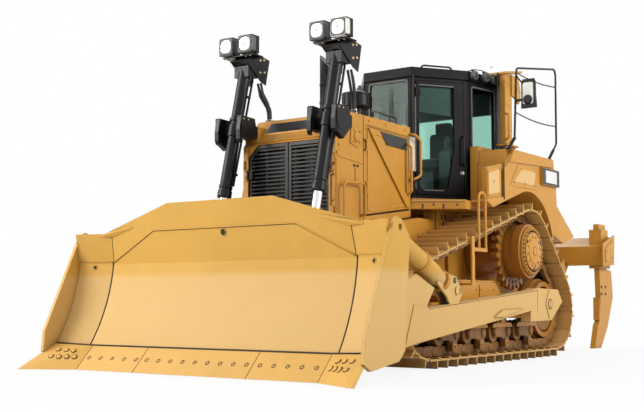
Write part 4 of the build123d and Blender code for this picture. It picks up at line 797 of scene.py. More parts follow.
def make_track(name, side, sizes):
    """Chain of one side: shoes with their bars and bolts, links and pins."""
    track = Piece(f"track_chain_{name}", "tractor").use("track_steel")
    shoes = Piece(f"track_shoes_{name}", "tractor").use("shoe_paint")
    pins = belt_pins()
    mid = side * GAUGE_HALF
    for (y0, z0), (y1, z1) in zip(pins, pins[1:] + pins[:1]):
        long = math.hypot(y1 - y0, z1 - z0)
        ty, tz = (y1 - y0) / long, (z1 - z0) / long
        cy, cz = (y0 + y1) / 2, (z0 + z1) / 2

        def spot(x, along, out):
            return at(mid + x, cy + ty * along + tz * out, cz + tz * along - ty * out)

        out_axis = Vector((0, tz, -ty))
        plate, rib = shoe_section(long, sizes.grouser)
        shoes.use("shoe_paint").prism([spot(-SHOE_HALF, a, o) for a, o in plate],
                (2 * SHOE_HALF, 0, 0))
        edge = -long / 2
        lip = ((edge + 0.02, 0.040), (edge - 0.040, 0.034), (edge - 0.040, 0.046),
               (edge + 0.02, 0.053))
        shoes.prism([spot(-SHOE_HALF + 0.002, a, o) for a, o in lip], (2 * SHOE_HALF - 0.004, 0, 0))
        shoes.prism([spot(-SHOE_HALF + 0.006, a, o) for a, o in rib], (2 * SHOE_HALF - 0.012, 0, 0))
        shoes.use("track_steel")
        for x in (-0.088, 0.088):
            for a in (-0.075, -0.012):
                shoes.lathe(spot(x, a, SHOE_OUT), out_axis,
                        ((0, 0.017), (0.010, 0.017), (0.013, 0.012)), 6)
        for near, far in ((LINK_IN, LINK_OUT - 0.008), (-LINK_OUT + 0.008, -LINK_IN)):
            link = ((-long / 2 - 0.030, -0.020), (-long / 2 + 0.030, -LINK_RISE),
                    (long / 2 - 0.030, -LINK_RISE),
                    (long / 2 + 0.028, -0.020), (long / 2 + 0.028, 0.022), (long / 2 - 0.02, 0.050),
                    (-long / 2 + 0.02, 0.050),
                    (-long / 2 - 0.030, 0.022))
            track.prism([spot(near, a, o) for a, o in link], (far - near, 0, 0))
        for way in (-1, 1):
            start = spot(way * (LINK_OUT - 0.016), -long / 2, 0)
            track.lathe(start, (way, 0, 0), ((-0.04, 0.052), (0.010, 0.052), (0.016, 0.044),
                    (0.016, 0.030)), 16)
            track.lathe(start, (way, 0, 0), ((0.010, 0.026), (0.015, 0.026), (0.0155, 0.012)), 14)
        track.rod(spot(-LINK_OUT + 0.03, -long / 2, 0), spot(LINK_OUT - 0.03, -long / 2, 0), 0.033,
                  12)
    chain = track.done()
    shoes.done(0.003, 40)
    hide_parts(f"track_{name}")


def bolt_ring(piece, x, side, y, z, radius, count, size, first=0.0):
    for i in range(count):
        angle = first + 2 * math.pi * i / count
        piece.bolt(at(side * x, y + radius * math.cos(angle), z + radius * math.sin(angle)),
                   (side, 0, 0), size)


def make_running_gear(name, side):
    """Bolts, caps and guards of the final drive, idlers, rollers and track frame."""
    trim = Piece(f"running_gear_{name}", "tractor").use("drive_paint")
    axis = (side, 0, 0)

    def ring(x, y, z, profile, count=48):
        trim.lathe(at(side * x, y, z), axis, profile, count)

    z = SPROCKET_Z
    ring(1.296, 0, z, ((-0.10, 0.325), (0.0, 0.325), (0.008, 0.317), (0.008, 0.29)))
    trim.use("yellow_paint")
    ring(1.328, 0, z, ((-0.02, 0.292), (0.0, 0.292), (0.004, 0.288), (0.004, 0.24)))
    ring(1.328, 0, z, ((0.0, 0.232), (0.018, 0.226), (0.026, 0.20), (0.0265, 0.15)))
    ring(1.352, 0, z, ((-0.01, 0.150), (0.008, 0.146), (0.012, 0.13), (0.013, 0.06),
                       (0.006, 0.055)))
    ring(1.36, 0, z, ((0.0, 0.050), (0.008, 0.048), (0.010, 0.03)), 24)
    trim.use("dark_gap")
    ring(1.332, 0, z, ((0.0, 0.284), (0.0035, 0.283), (0.0035, 0.244), (0.0, 0.243)))
    trim.use("yellow_paint")
    bolt_ring(trim, 1.335, side, 0, z, 0.264, 32, 0.0155)
    bolt_ring(trim, 1.356, side, 0, z, 0.175, 12, 0.013, 0.2)
    trim.use("dark_gap")
    for angle in (0.5, 2.6, 4.7):
        spot = at(side * 1.354, 0.205 * math.cos(angle), z + 0.205 * math.sin(angle))
        trim.lathe(spot, axis, ((-0.004, 0.018), (0.0015, 0.018)), 16)
    trim.use("track_steel")
    for i in range(SPROCKET_TEETH):
        angle = 2 * math.pi * (i + 0.5) / SPROCKET_TEETH
        dy, dz = SPROCKET_BOLTS_R * math.cos(angle), SPROCKET_BOLTS_R * math.sin(angle)
        spot = at(side * 1.081, dy, z + dz)
        trim.bolt(spot, axis, 0.014)
    for y in IDLERS_Y:
        iz = PIN_LINE_Z + IDLER_R
        ring(GAUGE_HALF + 0.150, y, iz, ((0.0, 0.088), (0.014, 0.086), (0.020, 0.075),
                (0.020, 0.05), (0.012, 0.045)), 32)
        bolt_ring(trim, GAUGE_HALF + 0.168, side, y, iz, 0.066, 6, 0.009)
        ring(GAUGE_HALF + 0.100, y, iz, ((0.0, 0.26), (0.012, 0.262), (0.014, 0.20), (0.02, 0.13)),
             40)
    for y in ROLLERS_Y:
        ring(GAUGE_HALF + 0.160, y, ROLLER_Z, ((0.0, 0.052), (0.012, 0.050), (0.018, 0.040),
                (0.018, 0.02)), 24)
        bolt_ring(trim, GAUGE_HALF + 0.160, side, y, ROLLER_Z, 0.068, 4, 0.007, 0.785)
        for way in (-1, 1):
            spot = at(side * GAUGE_HALF, y, ROLLER_Z) + Vector((way * 0.035, 0, 0))
            trim.lathe(spot, (way, 0, 0), ((0, 0.128), (0.016, 0.128), (0.018, 0.112)), 28)
    trim.done(0.0015, 40)


def make_track_frame_trim(name, side):
    """Cover plates, roller guards and bolts on the outer side of a track frame."""
    trim = Piece(f"track_frame_trim_{name}", "tractor").use("yellow_paint")
    x0, x1 = 1.206, 1.216

    def plate(outline, lift=0.0, thick=0.010):
        low, high = x0 + lift, x0 + lift + thick
        trim.side_prism(side * low, outline, side * (high - low))

    plate(((-1.98, 0.50), (-1.98, 0.70), (-1.72, 0.845), (-1.20, 0.845), (-1.20, 0.50)))
    plate(((-1.16, 0.50), (-1.16, 0.845), (-0.79, 0.845), (-0.60, 0.68), (-0.60, 0.50)))
    trim.side_bolts(side, side * x1, ((-1.93, 0.55), (-1.93, 0.67), (-1.70, 0.80), (-1.25, 0.80),
            (-1.25, 0.55), (-1.6, 0.55),
                 (-1.12, 0.55), (-1.12, 0.80), (-0.82, 0.80), (-0.65, 0.55)), 0.012)
    cover = [at(side * 1.05, y, z) for y, z in ((-1.74, 0.881), (-0.77, 0.881), (-0.77, 0.900),
            (-1.74, 0.900))]
    trim.prism(cover, (side * 0.15, 0, 0))
    for y in (-1.68, -1.40, -1.12, -0.84):
        trim.bolt(at(side * 1.17, y, 0.900), (0, 0, 1), 0.012)
    for y in ROLLERS_Y[::2]:
        middle = y + 0.1575
        trim.lathe(at(side * 1.203, middle, 0.442), (side, 0, 0),
                   ((0, 0.045), (0.012, 0.045), (0.018, 0.038), (0.018, 0.018)), 20)
        guard = ((y - 0.10, 0.385), (y - 0.06, 0.425), (y + 0.375, 0.425), (y + 0.415, 0.385),
                 (y + 0.40, 0.375), (y - 0.085, 0.375))
        trim.side_prism(side * 1.203, guard, side * 0.012)
        pad_y = middle + 0.05
        trim.lathe(at(side * 1.242, pad_y, 0.198), (side, 0, 0),
                   ((0, 0.030), (0.004, 0.030), (0.006, 0.024)), 18)
    trim.use("dark_gap")
    for y in ROLLERS_Y[::2]:
        trim.lathe(at(side * 1.242, y + 0.2075, 0.198), (side, 0, 0),
                   ((0.001, 0.016), (0.0075, 0.016)), 16)
    trim.done(0.003, 40)


# ---- lift cylinders ----
LIFT_X = 0.600
YOKE = Vector((-3.194, 2.450))
EYE = Vector((-3.620, 0.640))
BARREL_R = 0.066
BARREL_UP, BARREL_DOWN = 0.743, 0.727
LIFT_PIPE_R, HOSE_R = 0.0125, 0.0135
LIFT_AXIS = (EYE - YOKE).normalized()
LAMP_SIDE = 0.185


def on_lift(side, distance):
    point = YOKE + LIFT_AXIS * distance
    return at(side * LIFT_X, point.x, point.y)


def make_lift_trim(name, side):
    """Rings, gland, bolts and pipes of a lift cylinder."""
    body = f"lift_barrel_{name}"
    trim = Piece(f"lift_trim_{name}", body).use("black_paint")
    axis = Vector((0, LIFT_AXIS.x, LIFT_AXIS.y))

    def ring(distance, profile, count=40):
        trim.lathe(on_lift(side, distance), axis, profile, count)

    r = BARREL_R
    ring(-0.745, ((-0.012, 0.03), (-0.012, 0.062), (0.0, 0.070), (0.04, 0.070),
                  (0.046, r + 0.0005)))
    ring(-0.130, ((-0.02, r + 0.0005), (-0.012, 0.078), (0.018, 0.078), (0.026, r + 0.0005)))
    ring(0.60, ((-0.006, r + 0.0005), (0.0, 0.0715), (0.030, 0.0715), (0.036, r + 0.0005)))
    ring(0.655, ((0.0, r + 0.0005), (0.004, 0.075), (0.070, 0.075), (0.076, 0.068), (0.076, 0.049)))
    ring(BARREL_DOWN, ((0.0, 0.060), (0.012, 0.058), (0.014, 0.0475)))
    across, up = Vector((1, 0, 0)), axis.cross(Vector((1, 0, 0)))
    trim.use("dark_steel")
    for i in range(8):
        angle = 2 * math.pi * (i + 0.5) / 8
        around = across * math.cos(angle) + up * math.sin(angle)
        trim.bolt(on_lift(side, BARREL_DOWN + 0.004) + around * 0.066, axis, 0.008)
    trim.use("black_paint")
    start = on_lift(side, -0.66) + Vector((0.03, 0.075, 0))
    end = on_lift(side, 0.60) + Vector((0.03, 0.082, 0))
    route = [start, start + Vector((0, 0.025, -0.05)), end + Vector((0, 0.01, 0.05)), end]
    trim.tube(bent(route, 0.03), LIFT_PIPE_R)
    for share in (0.2, 0.55, 0.9):
        p = start.lerp(end, share) + Vector((0, 0.008, 0))
        trim.box(p - Vector((0.02, 0.03, 0.012)), p + Vector((0.02, 0.014, 0.012)))
    trim.done(0.0015, 40)
    rod = Piece(f"lift_rod_trim_{name}", f"lift_rod_{name}").use("black_paint")
    eye = at(side * LIFT_X, EYE.x, EYE.y)
    rod.lathe(eye - axis * 0.105, axis, ((-0.012, 0.047), (0.0, 0.055), (0.04, 0.062)), 28)
    for way in (-1, 1):
        rod.lathe(eye + Vector((way * 0.041, 0, 0)), (way, 0, 0),
                  ((0, 0.070), (0.006, 0.066), (0.008, 0.05)), 28)
    rod.done(0.001)
    yoke = Piece(f"lift_yoke_trim_{name}", "tractor").use("black_paint")
    y, z = YOKE
    for off, low in ((0.176, -0.10), (-0.176, -0.06)):
        way = 1 if off > 0 else -1
        x = side * LIFT_X + side * off
        cap = ((y - 0.106, z + 0.142), (y - 0.106, z - 0.02), (y - 0.07, z + low),
               (y + 0.02, z + low), (y + 0.02, z + 0.142))
        yoke.side_prism(x, cap, side * way * 0.006)
        yoke.use("zinc")
        for dy, dz in ((-0.075, 0.115), (0.0, 0.115)):
            yoke.bolt(at(x + side * way * 0.004, y + dy, z + dz), (side * way, 0, 0), 0.010)
        yoke.use("black_paint")
    shape = ((y - 0.13, z + 0.00), (y - 0.104, z + 0.145), (y - 0.104, z - 0.14),
             (y - 0.128, z - 0.10))
    for off in (0.146, -0.146):
        x = side * (LIFT_X + off)
        yoke.side_prism(x - 0.026, shape, 0.052)
    yoke.done(0.004, 40)


def make_lamps(name, side, sizes):
    """Two work lamps on the head of a cylinder: shell, rim, lens, foot and bolts."""
    body = f"lift_barrel_{name}"
    lamps = Piece(f"work_lamps_{name}", body).use("lamp_shell")
    head = YOKE - LIFT_AXIS * BARREL_UP
    hx = side * LIFT_X
    half = sizes.lamp_side / 2 + 0.003
    for left, shell in ((-0.245, "cab_trim"), (0.015, "lamp_shell" if side > 0 else "cab_trim")):
        middle = at(hx + left + sizes.lamp_side / 2, head.x - 0.150,
                    head.y + 0.125 + sizes.lamp_side / 2)

        def frame(size, corner, depth, count=6):
            ring = []
            for sx, sz, start in ((1, 1, 0.0), (-1, 1, 90.0), (-1, -1, 180.0), (1, -1, 270.0)):
                for i in range(count + 1):
                    angle = math.radians(start + 90 * i / count)
                    ring.append(middle + Vector((sx * (size - corner) + corner * math.cos(angle),
                            depth,
                                                 sz * (size - corner) + corner * math.sin(angle))))
            return ring

        lamps.use(shell).rings([frame(half - 0.03, 0.03, 0.131), frame(half - 0.006, 0.03, 0.10),
                frame(half, 0.03, 0.05),
                     frame(half, 0.03, 0.0), frame(half - 0.004, 0.03, -0.006)])
        lamps.use("cab_trim").rings([frame(half - 0.006, 0.028, -0.004),
                frame(half - 0.008, 0.028, -0.010),
                     frame(half - 0.014, 0.060, -0.012), frame(half - 0.022, 0.055, -0.005)],
                     closed_ends=False)
        lamps.use("lamp_lens").rings([frame(half - 0.020, 0.055, -0.005),
                frame(half - 0.032, 0.050, -0.0075), frame(half - 0.06, 0.03, -0.009)])
        lamps.use("dark_steel").lathe(middle + Vector((0, -0.008, 0)), (0, -1, 0),
                ((0, 0.009), (0.004, 0.008)), 14)
        lamps.use("black_paint")
        foot = middle + Vector((0, 0.075, -sizes.lamp_side / 2 - 0.012))
        lamps.box(foot - Vector((0.045, 0.03, 0.004)), foot + Vector((0.045, 0.03, 0.010)))
        for way in (-1, 1):
            arm = foot + Vector((way * 0.05, 0, 0.0))
            lamps.box(arm - Vector((0.004, 0.018, 0.002)), arm + Vector((0.004, 0.018, 0.05)))
        lamps.use("zinc")
        for way in (-1, 1):
            lamps.bolt(foot + Vector((way * 0.03, -0.015, -0.016)), (0, 0, -1), 0.009)
    lamps.use("black_paint")
    for x in (hx - 0.106, hx + 0.106):
        way = 1 if x > hx else -1
        for dy, dz in ((0.120, 0.086), (0.184, 0.100), (0.119, -0.047), (0.191, -0.033)):
            lamps.use("zinc").bolt(at(x, head.x + dy, head.y + dz), (way, 0, 0), 0.011)
    lamps.use("black_paint")
    lip = [at(hx - 0.11, head.x - 0.137, head.y + 0.048),
           at(hx - 0.11, head.x + 0.052, head.y + 0.155),
           at(hx - 0.11, head.x + 0.055, head.y + 0.147),
           at(hx - 0.11, head.x - 0.134, head.y + 0.040)]
    lamps.prism(lip, (0.22, 0, 0))
    lamps.done(0.002, 40)


def make_lift_hoses(name, side, sizes):
    """Two hoses in an arc from the hood up towards the head, clamped at the hood only."""
    hoses = Piece(f"lift_hoses_{name}", "tractor").use("rubber")
    for x0, x1, back in ((-0.062, -0.030, 0.0), (-0.028, 0.012, 0.03)):
        x0, x1 = side * (LIFT_X + x0), side * (LIFT_X + x1)
        points = [at(x0, -2.66, 2.62), at(x0, -2.668, 2.72),
                  at(x0 * 0.6 + x1 * 0.4, -2.70, 2.83 + back),
                  at(x1, -2.765, 2.93 + back), at(x1, -2.80, 3.03)]
        hoses.use("rubber").tube(bent(points, 0.12, 5), sizes.hose_radius)
        hoses.use("bright_steel").lathe(points[0], (0, 0, 1),
                ((-0.02, 0.016), (0.03, 0.016), (0.034, 0.0145)), 16)
        hoses.lathe(points[0], (0, 0, 1), ((-0.016, 0.021), (0.0, 0.021)), 6)
    hoses.use("black_paint")
    low = at(side * (LIFT_X - 0.045), -2.66, 2.605)
    hoses.box(low - Vector((0.032, 0.032, 0.004)), low + Vector((0.032, 0.032, 0.034)))
    hoses.done(0.001, 50)


# ---- nose, hood and engine sides ----
NOSE_HALF = 0.592
NOSE_FRONT_Y = -3.060
HOOD_FRONT_Y = -2.800
HOOD_TOP_Z = 2.605
STACK_Y, CLEANER_Y = -2.38, -1.78
GRILLE_LOW_Z, GRILLE_HIGH_Z = 1.010, 2.310


def make_grille_trim():
    """Frame, bars, clips and the blank plate of the louvred front."""
    trim = Piece("grille_trim", "tractor").use("yellow_paint")
    face = NOSE_FRONT_Y
    plate = [at(x, face - 0.001, z) for x, z in ((-0.31, 2.40), (0.31, 2.40), (0.31, 2.42),
            (-0.31, 2.42))]
    trim.prism(plate, (0, -0.012, 0))
    trim.use("blank_plate")
    slope = Vector((0, 0.220, 0.265)).normalized()
    out = Vector((0, -slope.z, slope.y))
    low, high = Vector(at(0, -3.060, 2.300)), Vector(at(0, -2.840, 2.565))
    run = high - low
    sign = [low + run * 0.50, low + run * 0.97]
    corners = [sign[0] + Vector((-0.38, 0, 0)), sign[0] + Vector((0.38, 0, 0)),
               sign[1] + Vector((0.38, 0, 0)), sign[1] + Vector((-0.38, 0, 0))]
    trim.prism([c + out * 0.001 for c in corners], out * 0.006)
    trim.use("yellow_paint")
    ledge = [low + run * 0.12 + Vector((-0.56, 0, 0)), low + run * 0.12 + Vector((0.56, 0, 0)),
             low + run * 0.17 + Vector((0.56, 0, 0)), low + run * 0.17 + Vector((-0.56, 0, 0))]
    trim.prism(ledge, out * 0.012)
    for x in (-0.50, -0.25, 0.25, 0.50):
        trim.bolt(low + run * 0.25 + Vector((x, 0, 0)), out, 0.012)
    for way in (-1, 1):
        bar = [at(way * 0.530, face, z) for z in (1.03, 2.29)]
        trim.box(Vector(bar[0]) - Vector((0.012, 0.010, 0)),
                 Vector(bar[1]) + Vector((0.012, 0.001, 0)))
        for z in (1.08, 1.38, 1.68, 1.98, 2.25):
            trim.bolt(at(way * 0.562, face, z), (0, -1, 0), 0.011)
        trim.box(at(way * 0.558 - 0.018, face - 0.018, 1.52), at(way * 0.558 + 0.018, face, 1.62))
        for z in (1.2, 2.1):
            trim.lathe(at(way * 0.575, face - 0.006, z - 0.05), (0, 0, 1),
                       ((0, 0.012), (0.10, 0.012)), 14)
    trim.done(0.002, 40)
    slats = Piece("grille_bars", "tractor").use("grille_paint")
    for x in (-0.017, 0.017):
        slats.box(at(x - 0.006, face + 0.012, GRILLE_LOW_Z + 0.02),
                  at(x + 0.006, face + 0.022, GRILLE_HIGH_Z - 0.02))
    for x in (-0.30, 0.30):
        slats.box(at(x - 0.005, face + 0.03, GRILLE_LOW_Z + 0.02),
                  at(x + 0.005, face + 0.04, GRILLE_HIGH_Z - 0.02))
    slats.use("dark_steel")
    for x in (-0.29, 0.29):
        for k in range(30):
            z = GRILLE_LOW_Z + (GRILLE_HIGH_Z - GRILLE_LOW_Z) * (k + 0.5) / 30
            slats.box(at(x - 0.007, face + 0.024, z - 0.006),
                      at(x + 0.007, face + 0.034, z + 0.006))
    slats.done(0.001)


def make_nose_side(name, side):
    """Boss, seams, latches and pipes on one side of the nose and hood."""
    trim = Piece(f"nose_side_{name}", "tractor").use("yellow_paint")
    x = side * NOSE_HALF

    def put(outline, thick, lift=0.0):
        trim.side_prism(x + side * (lift - 0.001), outline, side * (thick + 0.001))

    put(((-3.045, 1.02), (-3.045, 1.06), (-2.56, 1.06), (-2.56, 1.02)), 0.008)
    put(((-3.048, 1.10), (-3.048, 2.10), (-3.030, 2.10), (-3.030, 1.10)), 0.006)
    put(((-3.03, 2.125), (-3.03, 2.175), (-2.56, 2.135), (-2.56, 2.085)), 0.006)
    put(((-2.80, 2.28), (-2.78, 2.45), (-2.60, 2.45), (-2.57, 2.30), (-2.66, 2.25)), 0.010)
    trim.lathe(at(x + side * 0.009, -2.684, 2.357), (side, 0, 0),
               ((0, 0.055), (0.012, 0.052), (0.016, 0.044), (0.016, 0.02)), 28)
    trim.side_bolts(side, x + side * 0.009, ((-2.74, 2.30), (-2.625, 2.31), (-2.73, 2.42),
            (-2.62, 2.42)), 0.013)
    trim.bolt(at(x, -3.00, 2.24), (side, 0, 0), 0.011)
    trim.use("dark_gap")
    put(((-2.553, 1.28), (-2.545, 1.28), (-2.545, 2.595), (-2.553, 2.595)), 0.0015)
    put(((-3.045, 2.153), (-3.045, 2.163), (-2.553, 2.123), (-2.553, 2.113)), 0.0015)
    put(((-3.02, 1.08), (-3.02, 1.086), (-2.60, 1.086), (-2.60, 1.08)), 0.0015)
    for y in (-2.72, -2.65):
        trim.lathe(at(x, y, 2.058), (side, 0, 0), ((0, 0.016), (0.004, 0.016)), 14)
    put(((-2.70, 2.054), (-2.70, 2.062), (-2.67, 2.062), (-2.67, 2.054)), 0.004)
    trim.use("yellow_paint")
    pipe = [at(x, -2.985, 1.50), at(x + side * 0.06, -2.985, 1.50),
            at(x + side * 0.06, -2.985, 1.86), at(x + side * 0.06, -2.60, 1.88),
            at(x + side * 0.06, -2.60, 1.55), at(x, -2.60, 1.55)]
    trim.tube(bent(pipe, 0.05, 5), 0.013, 12)
    trim.rod(at(x + side * 0.004, -2.70, 1.88), at(x + side * 0.004, -2.70, 2.04), 0.006, 8)
    trim.done(0.002, 40)


def make_hood_trim():
    """Ribs, handrails and flanges of the hood, and bands of the stack and the air cleaner."""
    trim = Piece("hood_trim", "tractor").use("yellow_paint")
    z = HOOD_TOP_Z
    for x in (-0.40, 0.40):
        trim.box(at(x - 0.010, HOOD_FRONT_Y + 0.02, z - 0.001), at(x + 0.010, -1.66, z + 0.010))
    for y in (-2.56, -2.10, -1.66):
        for x in (-0.52, -0.30, 0.30, 0.52):
            trim.bolt(at(x, y, z), (0, 0, 1), 0.012)
    trim.lathe(at(0, STACK_Y, z - 0.002), (0, 0, 1),
               ((0, 0.125), (0.012, 0.125), (0.018, 0.118), (0.018, 0.07)), 40)
    trim.lathe(at(0, CLEANER_Y, z - 0.002), (0, 0, 1),
               ((0, 0.150), (0.012, 0.150), (0.018, 0.143), (0.018, 0.086)), 40)
    for y, radius in ((STACK_Y, 0.098), (CLEANER_Y, 0.12)):
        for i in range(8):
            angle = 2 * math.pi * (i + 0.5) / 8
            spot = at(radius * math.cos(angle), y + radius * math.sin(angle), z + 0.014)
            trim.bolt(spot, (0, 0, 1), 0.009)
    for _, side in SIDES:
        x = side * 0.555
        trim.use("black_paint")
        rail = [at(x, -2.30, z), at(x, -2.30, z + 0.085), at(x, -1.82, z + 0.075), at(x, -1.82, z)]
        trim.tube(bent(rail, 0.035, 5), 0.012, 12)
    trim.use("dark_gap").box(at(-NOSE_HALF, -2.552, z - 0.004), at(NOSE_HALF, -2.546, z + 0.0012))
    trim.done(0.002, 40)
    stack = Piece("exhaust_trim", "tractor").use("black_paint")
    foot = at(0, STACK_Y, z)
    stack.lathe(foot, (0, 0, 1), ((0.018, 0.088), (0.05, 0.086), (0.06, 0.0665)), 36)
    stack.lathe(foot, (0, 0, 1), ((0.20, 0.0665), (0.205, 0.071), (0.228, 0.071), (0.233, 0.0665)),
                36)
    stack.lathe(foot, (0, 0, 1), ((0.40, 0.0665), (0.405, 0.070), (0.425, 0.070), (0.43, 0.0665)),
                36)
    clamp = foot + Vector((0.072, 0, 0.216))
    stack.use("zinc").rod(clamp + Vector((0, -0.03, 0)), clamp + Vector((0, 0.03, 0)), 0.006, 10)
    stack.done(0.001)
    cleaner = Piece("air_precleaner_trim", "tractor").use("black_paint")
    foot = at(0, CLEANER_Y, HOOD_TOP_Z)
    cleaner.lathe(foot, (0, 0, 1), ((0.06, 0.085), (0.064, 0.089), (0.084, 0.089), (0.088, 0.085)),
                  40)
    cleaner.lathe(foot, (0, 0, 1), ((0.250, 0.1), (0.252, 0.164), (0.262, 0.168), (0.272, 0.164),
            (0.272, 0.15)), 48)
    cleaner.lathe(foot, (0, 0, 1), ((0.385, 0.163), (0.395, 0.167), (0.408, 0.165), (0.430, 0.12),
            (0.436, 0.03)), 48)
    for i in range(16):
        angle = 2 * math.pi * i / 16
        d = Vector((math.cos(angle), math.sin(angle), 0))
        s = Vector((-d.y, d.x, 0))
        p = foot + d * 0.1625 + Vector((0, 0, 0.285))
        cleaner.prism([p - s * 0.012, p + s * 0.012, p + s * 0.006 + Vector((0, 0, 0.09)),
                       p - s * 0.018 + Vector((0, 0, 0.09))], d * 0.004)
    cleaner.use("zinc").lathe(foot + Vector((0, 0, 0.436)), (0, 0, 1),
            ((0, 0.014), (0.012, 0.014), (0.014, 0.008)), 6)
    cleaner.done(0.001)


def make_engine_side(name, side):
    """Frame, rib, bolts and blank sign of an engine door, and the panel round it."""
    door = Piece(f"engine_door_trim_{name}", f"engine_door_{name}").use("yellow_paint")
    x = side * NOSE_HALF
    outline = ((-2.470, 2.475), (-1.647, 2.455), (-1.647, 1.712), (-2.470, 1.592))
    inner = ((-2.425, 2.430), (-1.692, 2.412), (-1.692, 1.752), (-2.425, 1.644))
    for i in range(4):
        a, b = outline[i], outline[(i + 1) % 4]
        c, d = inner[(i + 1) % 4], inner[i]
        door.side_prism(x - side * 0.001, (a, b, c, d), side * 0.007)
    rib = ((-2.470, 2.475), (-2.385, 2.473), (-1.650, 1.792), (-1.650, 1.712), (-1.705, 1.706))
    door.side_prism(x - side * 0.001, rib, side * 0.024)
    door.side_bolts(side, x + side * 0.005, ((-2.447, 2.452), (-1.67, 2.36), (-1.67, 1.735),
            (-2.06, 1.675), (-2.447, 1.620)), 0.009)
    door.use("blank_plate")
    sign = ((-2.225, 2.475), (-1.665, 2.462), (-1.665, 2.335), (-2.085, 2.345))
    door.side_prism(x + side * 0.004, sign, side * 0.006)
    door.done(0.0015, 40)
    body = Piece(f"engine_side_trim_{name}", "tractor").use("yellow_paint")
    ends = (-1.612, 2.015), (-1.612, 2.52)
    loop = [at(x, *ends[0]), at(x + side * 0.075, *ends[0]), at(x + side * 0.075, -1.48, 2.07),
            at(x + side * 0.075, -1.48, 2.46),
            at(x + side * 0.075, *ends[1]), at(x, *ends[1])]
    body.tube(bent(loop, 0.05, 5), 0.014, 12)
    body.use("pale_plate").side_prism(x, ((-1.617, 2.50), (-1.50, 2.50), (-1.488, 2.12),
            (-1.617, 2.12)), side * 0.012)
    body.use("dark_gap")
    for a, b in (((-2.500, 2.510), (-1.615, 2.490)), ((-2.500, 1.550), (-1.615, 1.670))):
        body.prism([at(x, y, z) for y, z in (a, b, (b[0], b[1] + 0.006), (a[0], a[1] + 0.006))],
                   (side * 0.0012, 0, 0))
    body.use("yellow_paint")
    for y in (-2.44, -2.10, -1.70):
        body.bolt(at(x, y, 2.560), (side, 0, 0), 0.011)
    body.side_bolts(side, x, ((-2.44, 1.46), (-2.20, 1.50), (-1.95, 1.53), (-1.70, 1.56)), 0.011)
    body.done(0.002, 40)


# ---- cab ----
CAB_ROOF_Z = 3.420
GASKET_WIDTH = 0.020
CAB_FRONT = (0.320, -1.085)
CAB_NEAR = (0.745, -0.495)
CAB_MIDDLE = (0.850, 0.100)
CAB_REAR = (0.800, 0.400)


def on_wall(side, start, end, share, z, lift=0.0):
    """Point on a cab wall between two plan corners, lifted outwards."""
    run = Vector((end[0] - start[0], end[1] - start[1], 0))
    out = Vector((-run.y, run.x, 0)).normalized()
    if out.x < 0 or (abs(out.x) < 1e-6 and out.y > 0):
        out = -out
    p = Vector((start[0], start[1], 0)) + run * share + out * lift
    return at(side * p.x, p.y, z)


def wall_out(side, start, end):
    run = Vector((end[0] - start[0], end[1] - start[1], 0))
    out = Vector((-run.y, run.x, 0)).normalized()
    if out.x < 0:
        out = -out
    return Vector((side * out.x, out.y, 0))


def gasket(piece, corners, out, width, proud=0.006, corner=0.045):
    """Raised rubber frame inside four corners of a window."""
    loops = []
    for inset, lift in ((0.0, -0.001), (0.0, proud), (width, proud), (width, -0.001)):
        ring = []
        for i in range(4):
            here, before, after = corners[i], corners[i - 1], corners[(i + 1) % 4]
            a, b = (before - here).normalized(), (after - here).normalized()
            p = here + (a + b) * inset
            cut = max(corner - inset, 0.006)
            for k in range(5):
                share = k / 4
                q = (p + a * cut).lerp(p, share).lerp(p.lerp(p + b * cut, share), share)
                ring.append(q + out * lift)
        loops.append(ring)
    piece.rings(loops, closed_ends=False, loop=False)


def make_cab_door_trim(name, side, sizes):
    """Gasket, handle, hinges and grab bar of a cab door."""
    door = Piece(f"cab_door_trim_{name}", f"cab_door_{name}").use("cab_trim")
    a, b = CAB_FRONT, CAB_NEAR
    out = wall_out(side, a, b)
    long = math.dist(a, b)

    def spot(distance, z, lift=0.0):
        return on_wall(side, a, b, distance / long, z, lift)

    corners = [spot(0.040, 1.955), spot(long - 0.125, 1.955), spot(long - 0.125, 3.229),
               spot(0.040, 3.229)]
    gasket(door, corners, out, sizes.gasket_width)
    # Painted shade: a dark sheet just inside the top of the door glass stands in for the dark cab
    # under the roof.
    door.use("blank_plate")
    painted_shade_sheet = [spot(0.045, 2.90, -0.035), spot(long - 0.130, 2.86, -0.035),
             spot(long - 0.130, 3.22, -0.035), spot(0.045, 3.22, -0.035)]
    door.prism(painted_shade_sheet, -out * 0.004)
    door.use("black_paint")
    grip = [spot(long - 0.075, 2.28, 0.0), spot(long - 0.075, 2.28, 0.05),
            spot(long - 0.075, 2.62, 0.05), spot(long - 0.075, 2.62, 0.0)]
    door.tube(bent(grip, 0.03, 5), 0.011, 12)
    door.use("bright_steel").lathe(spot(long - 0.075, 2.18), out,
            ((0, 0.026), (0.008, 0.026), (0.012, 0.018), (0.03, 0.014), (0.032, 0.009)), 20)
    door.use("black_paint")
    for z in (2.02, 2.62, 3.14):
        door.rod(spot(0.012, z - 0.045, 0.014), spot(0.012, z + 0.045, 0.014), 0.012, 14)
    for distance in (0.030, long - 0.040):
        for z in (2.00, 2.45, 2.90, 3.27):
            door.bolt(spot(distance, z), out, 0.008)
    door.done(0.001, 45)


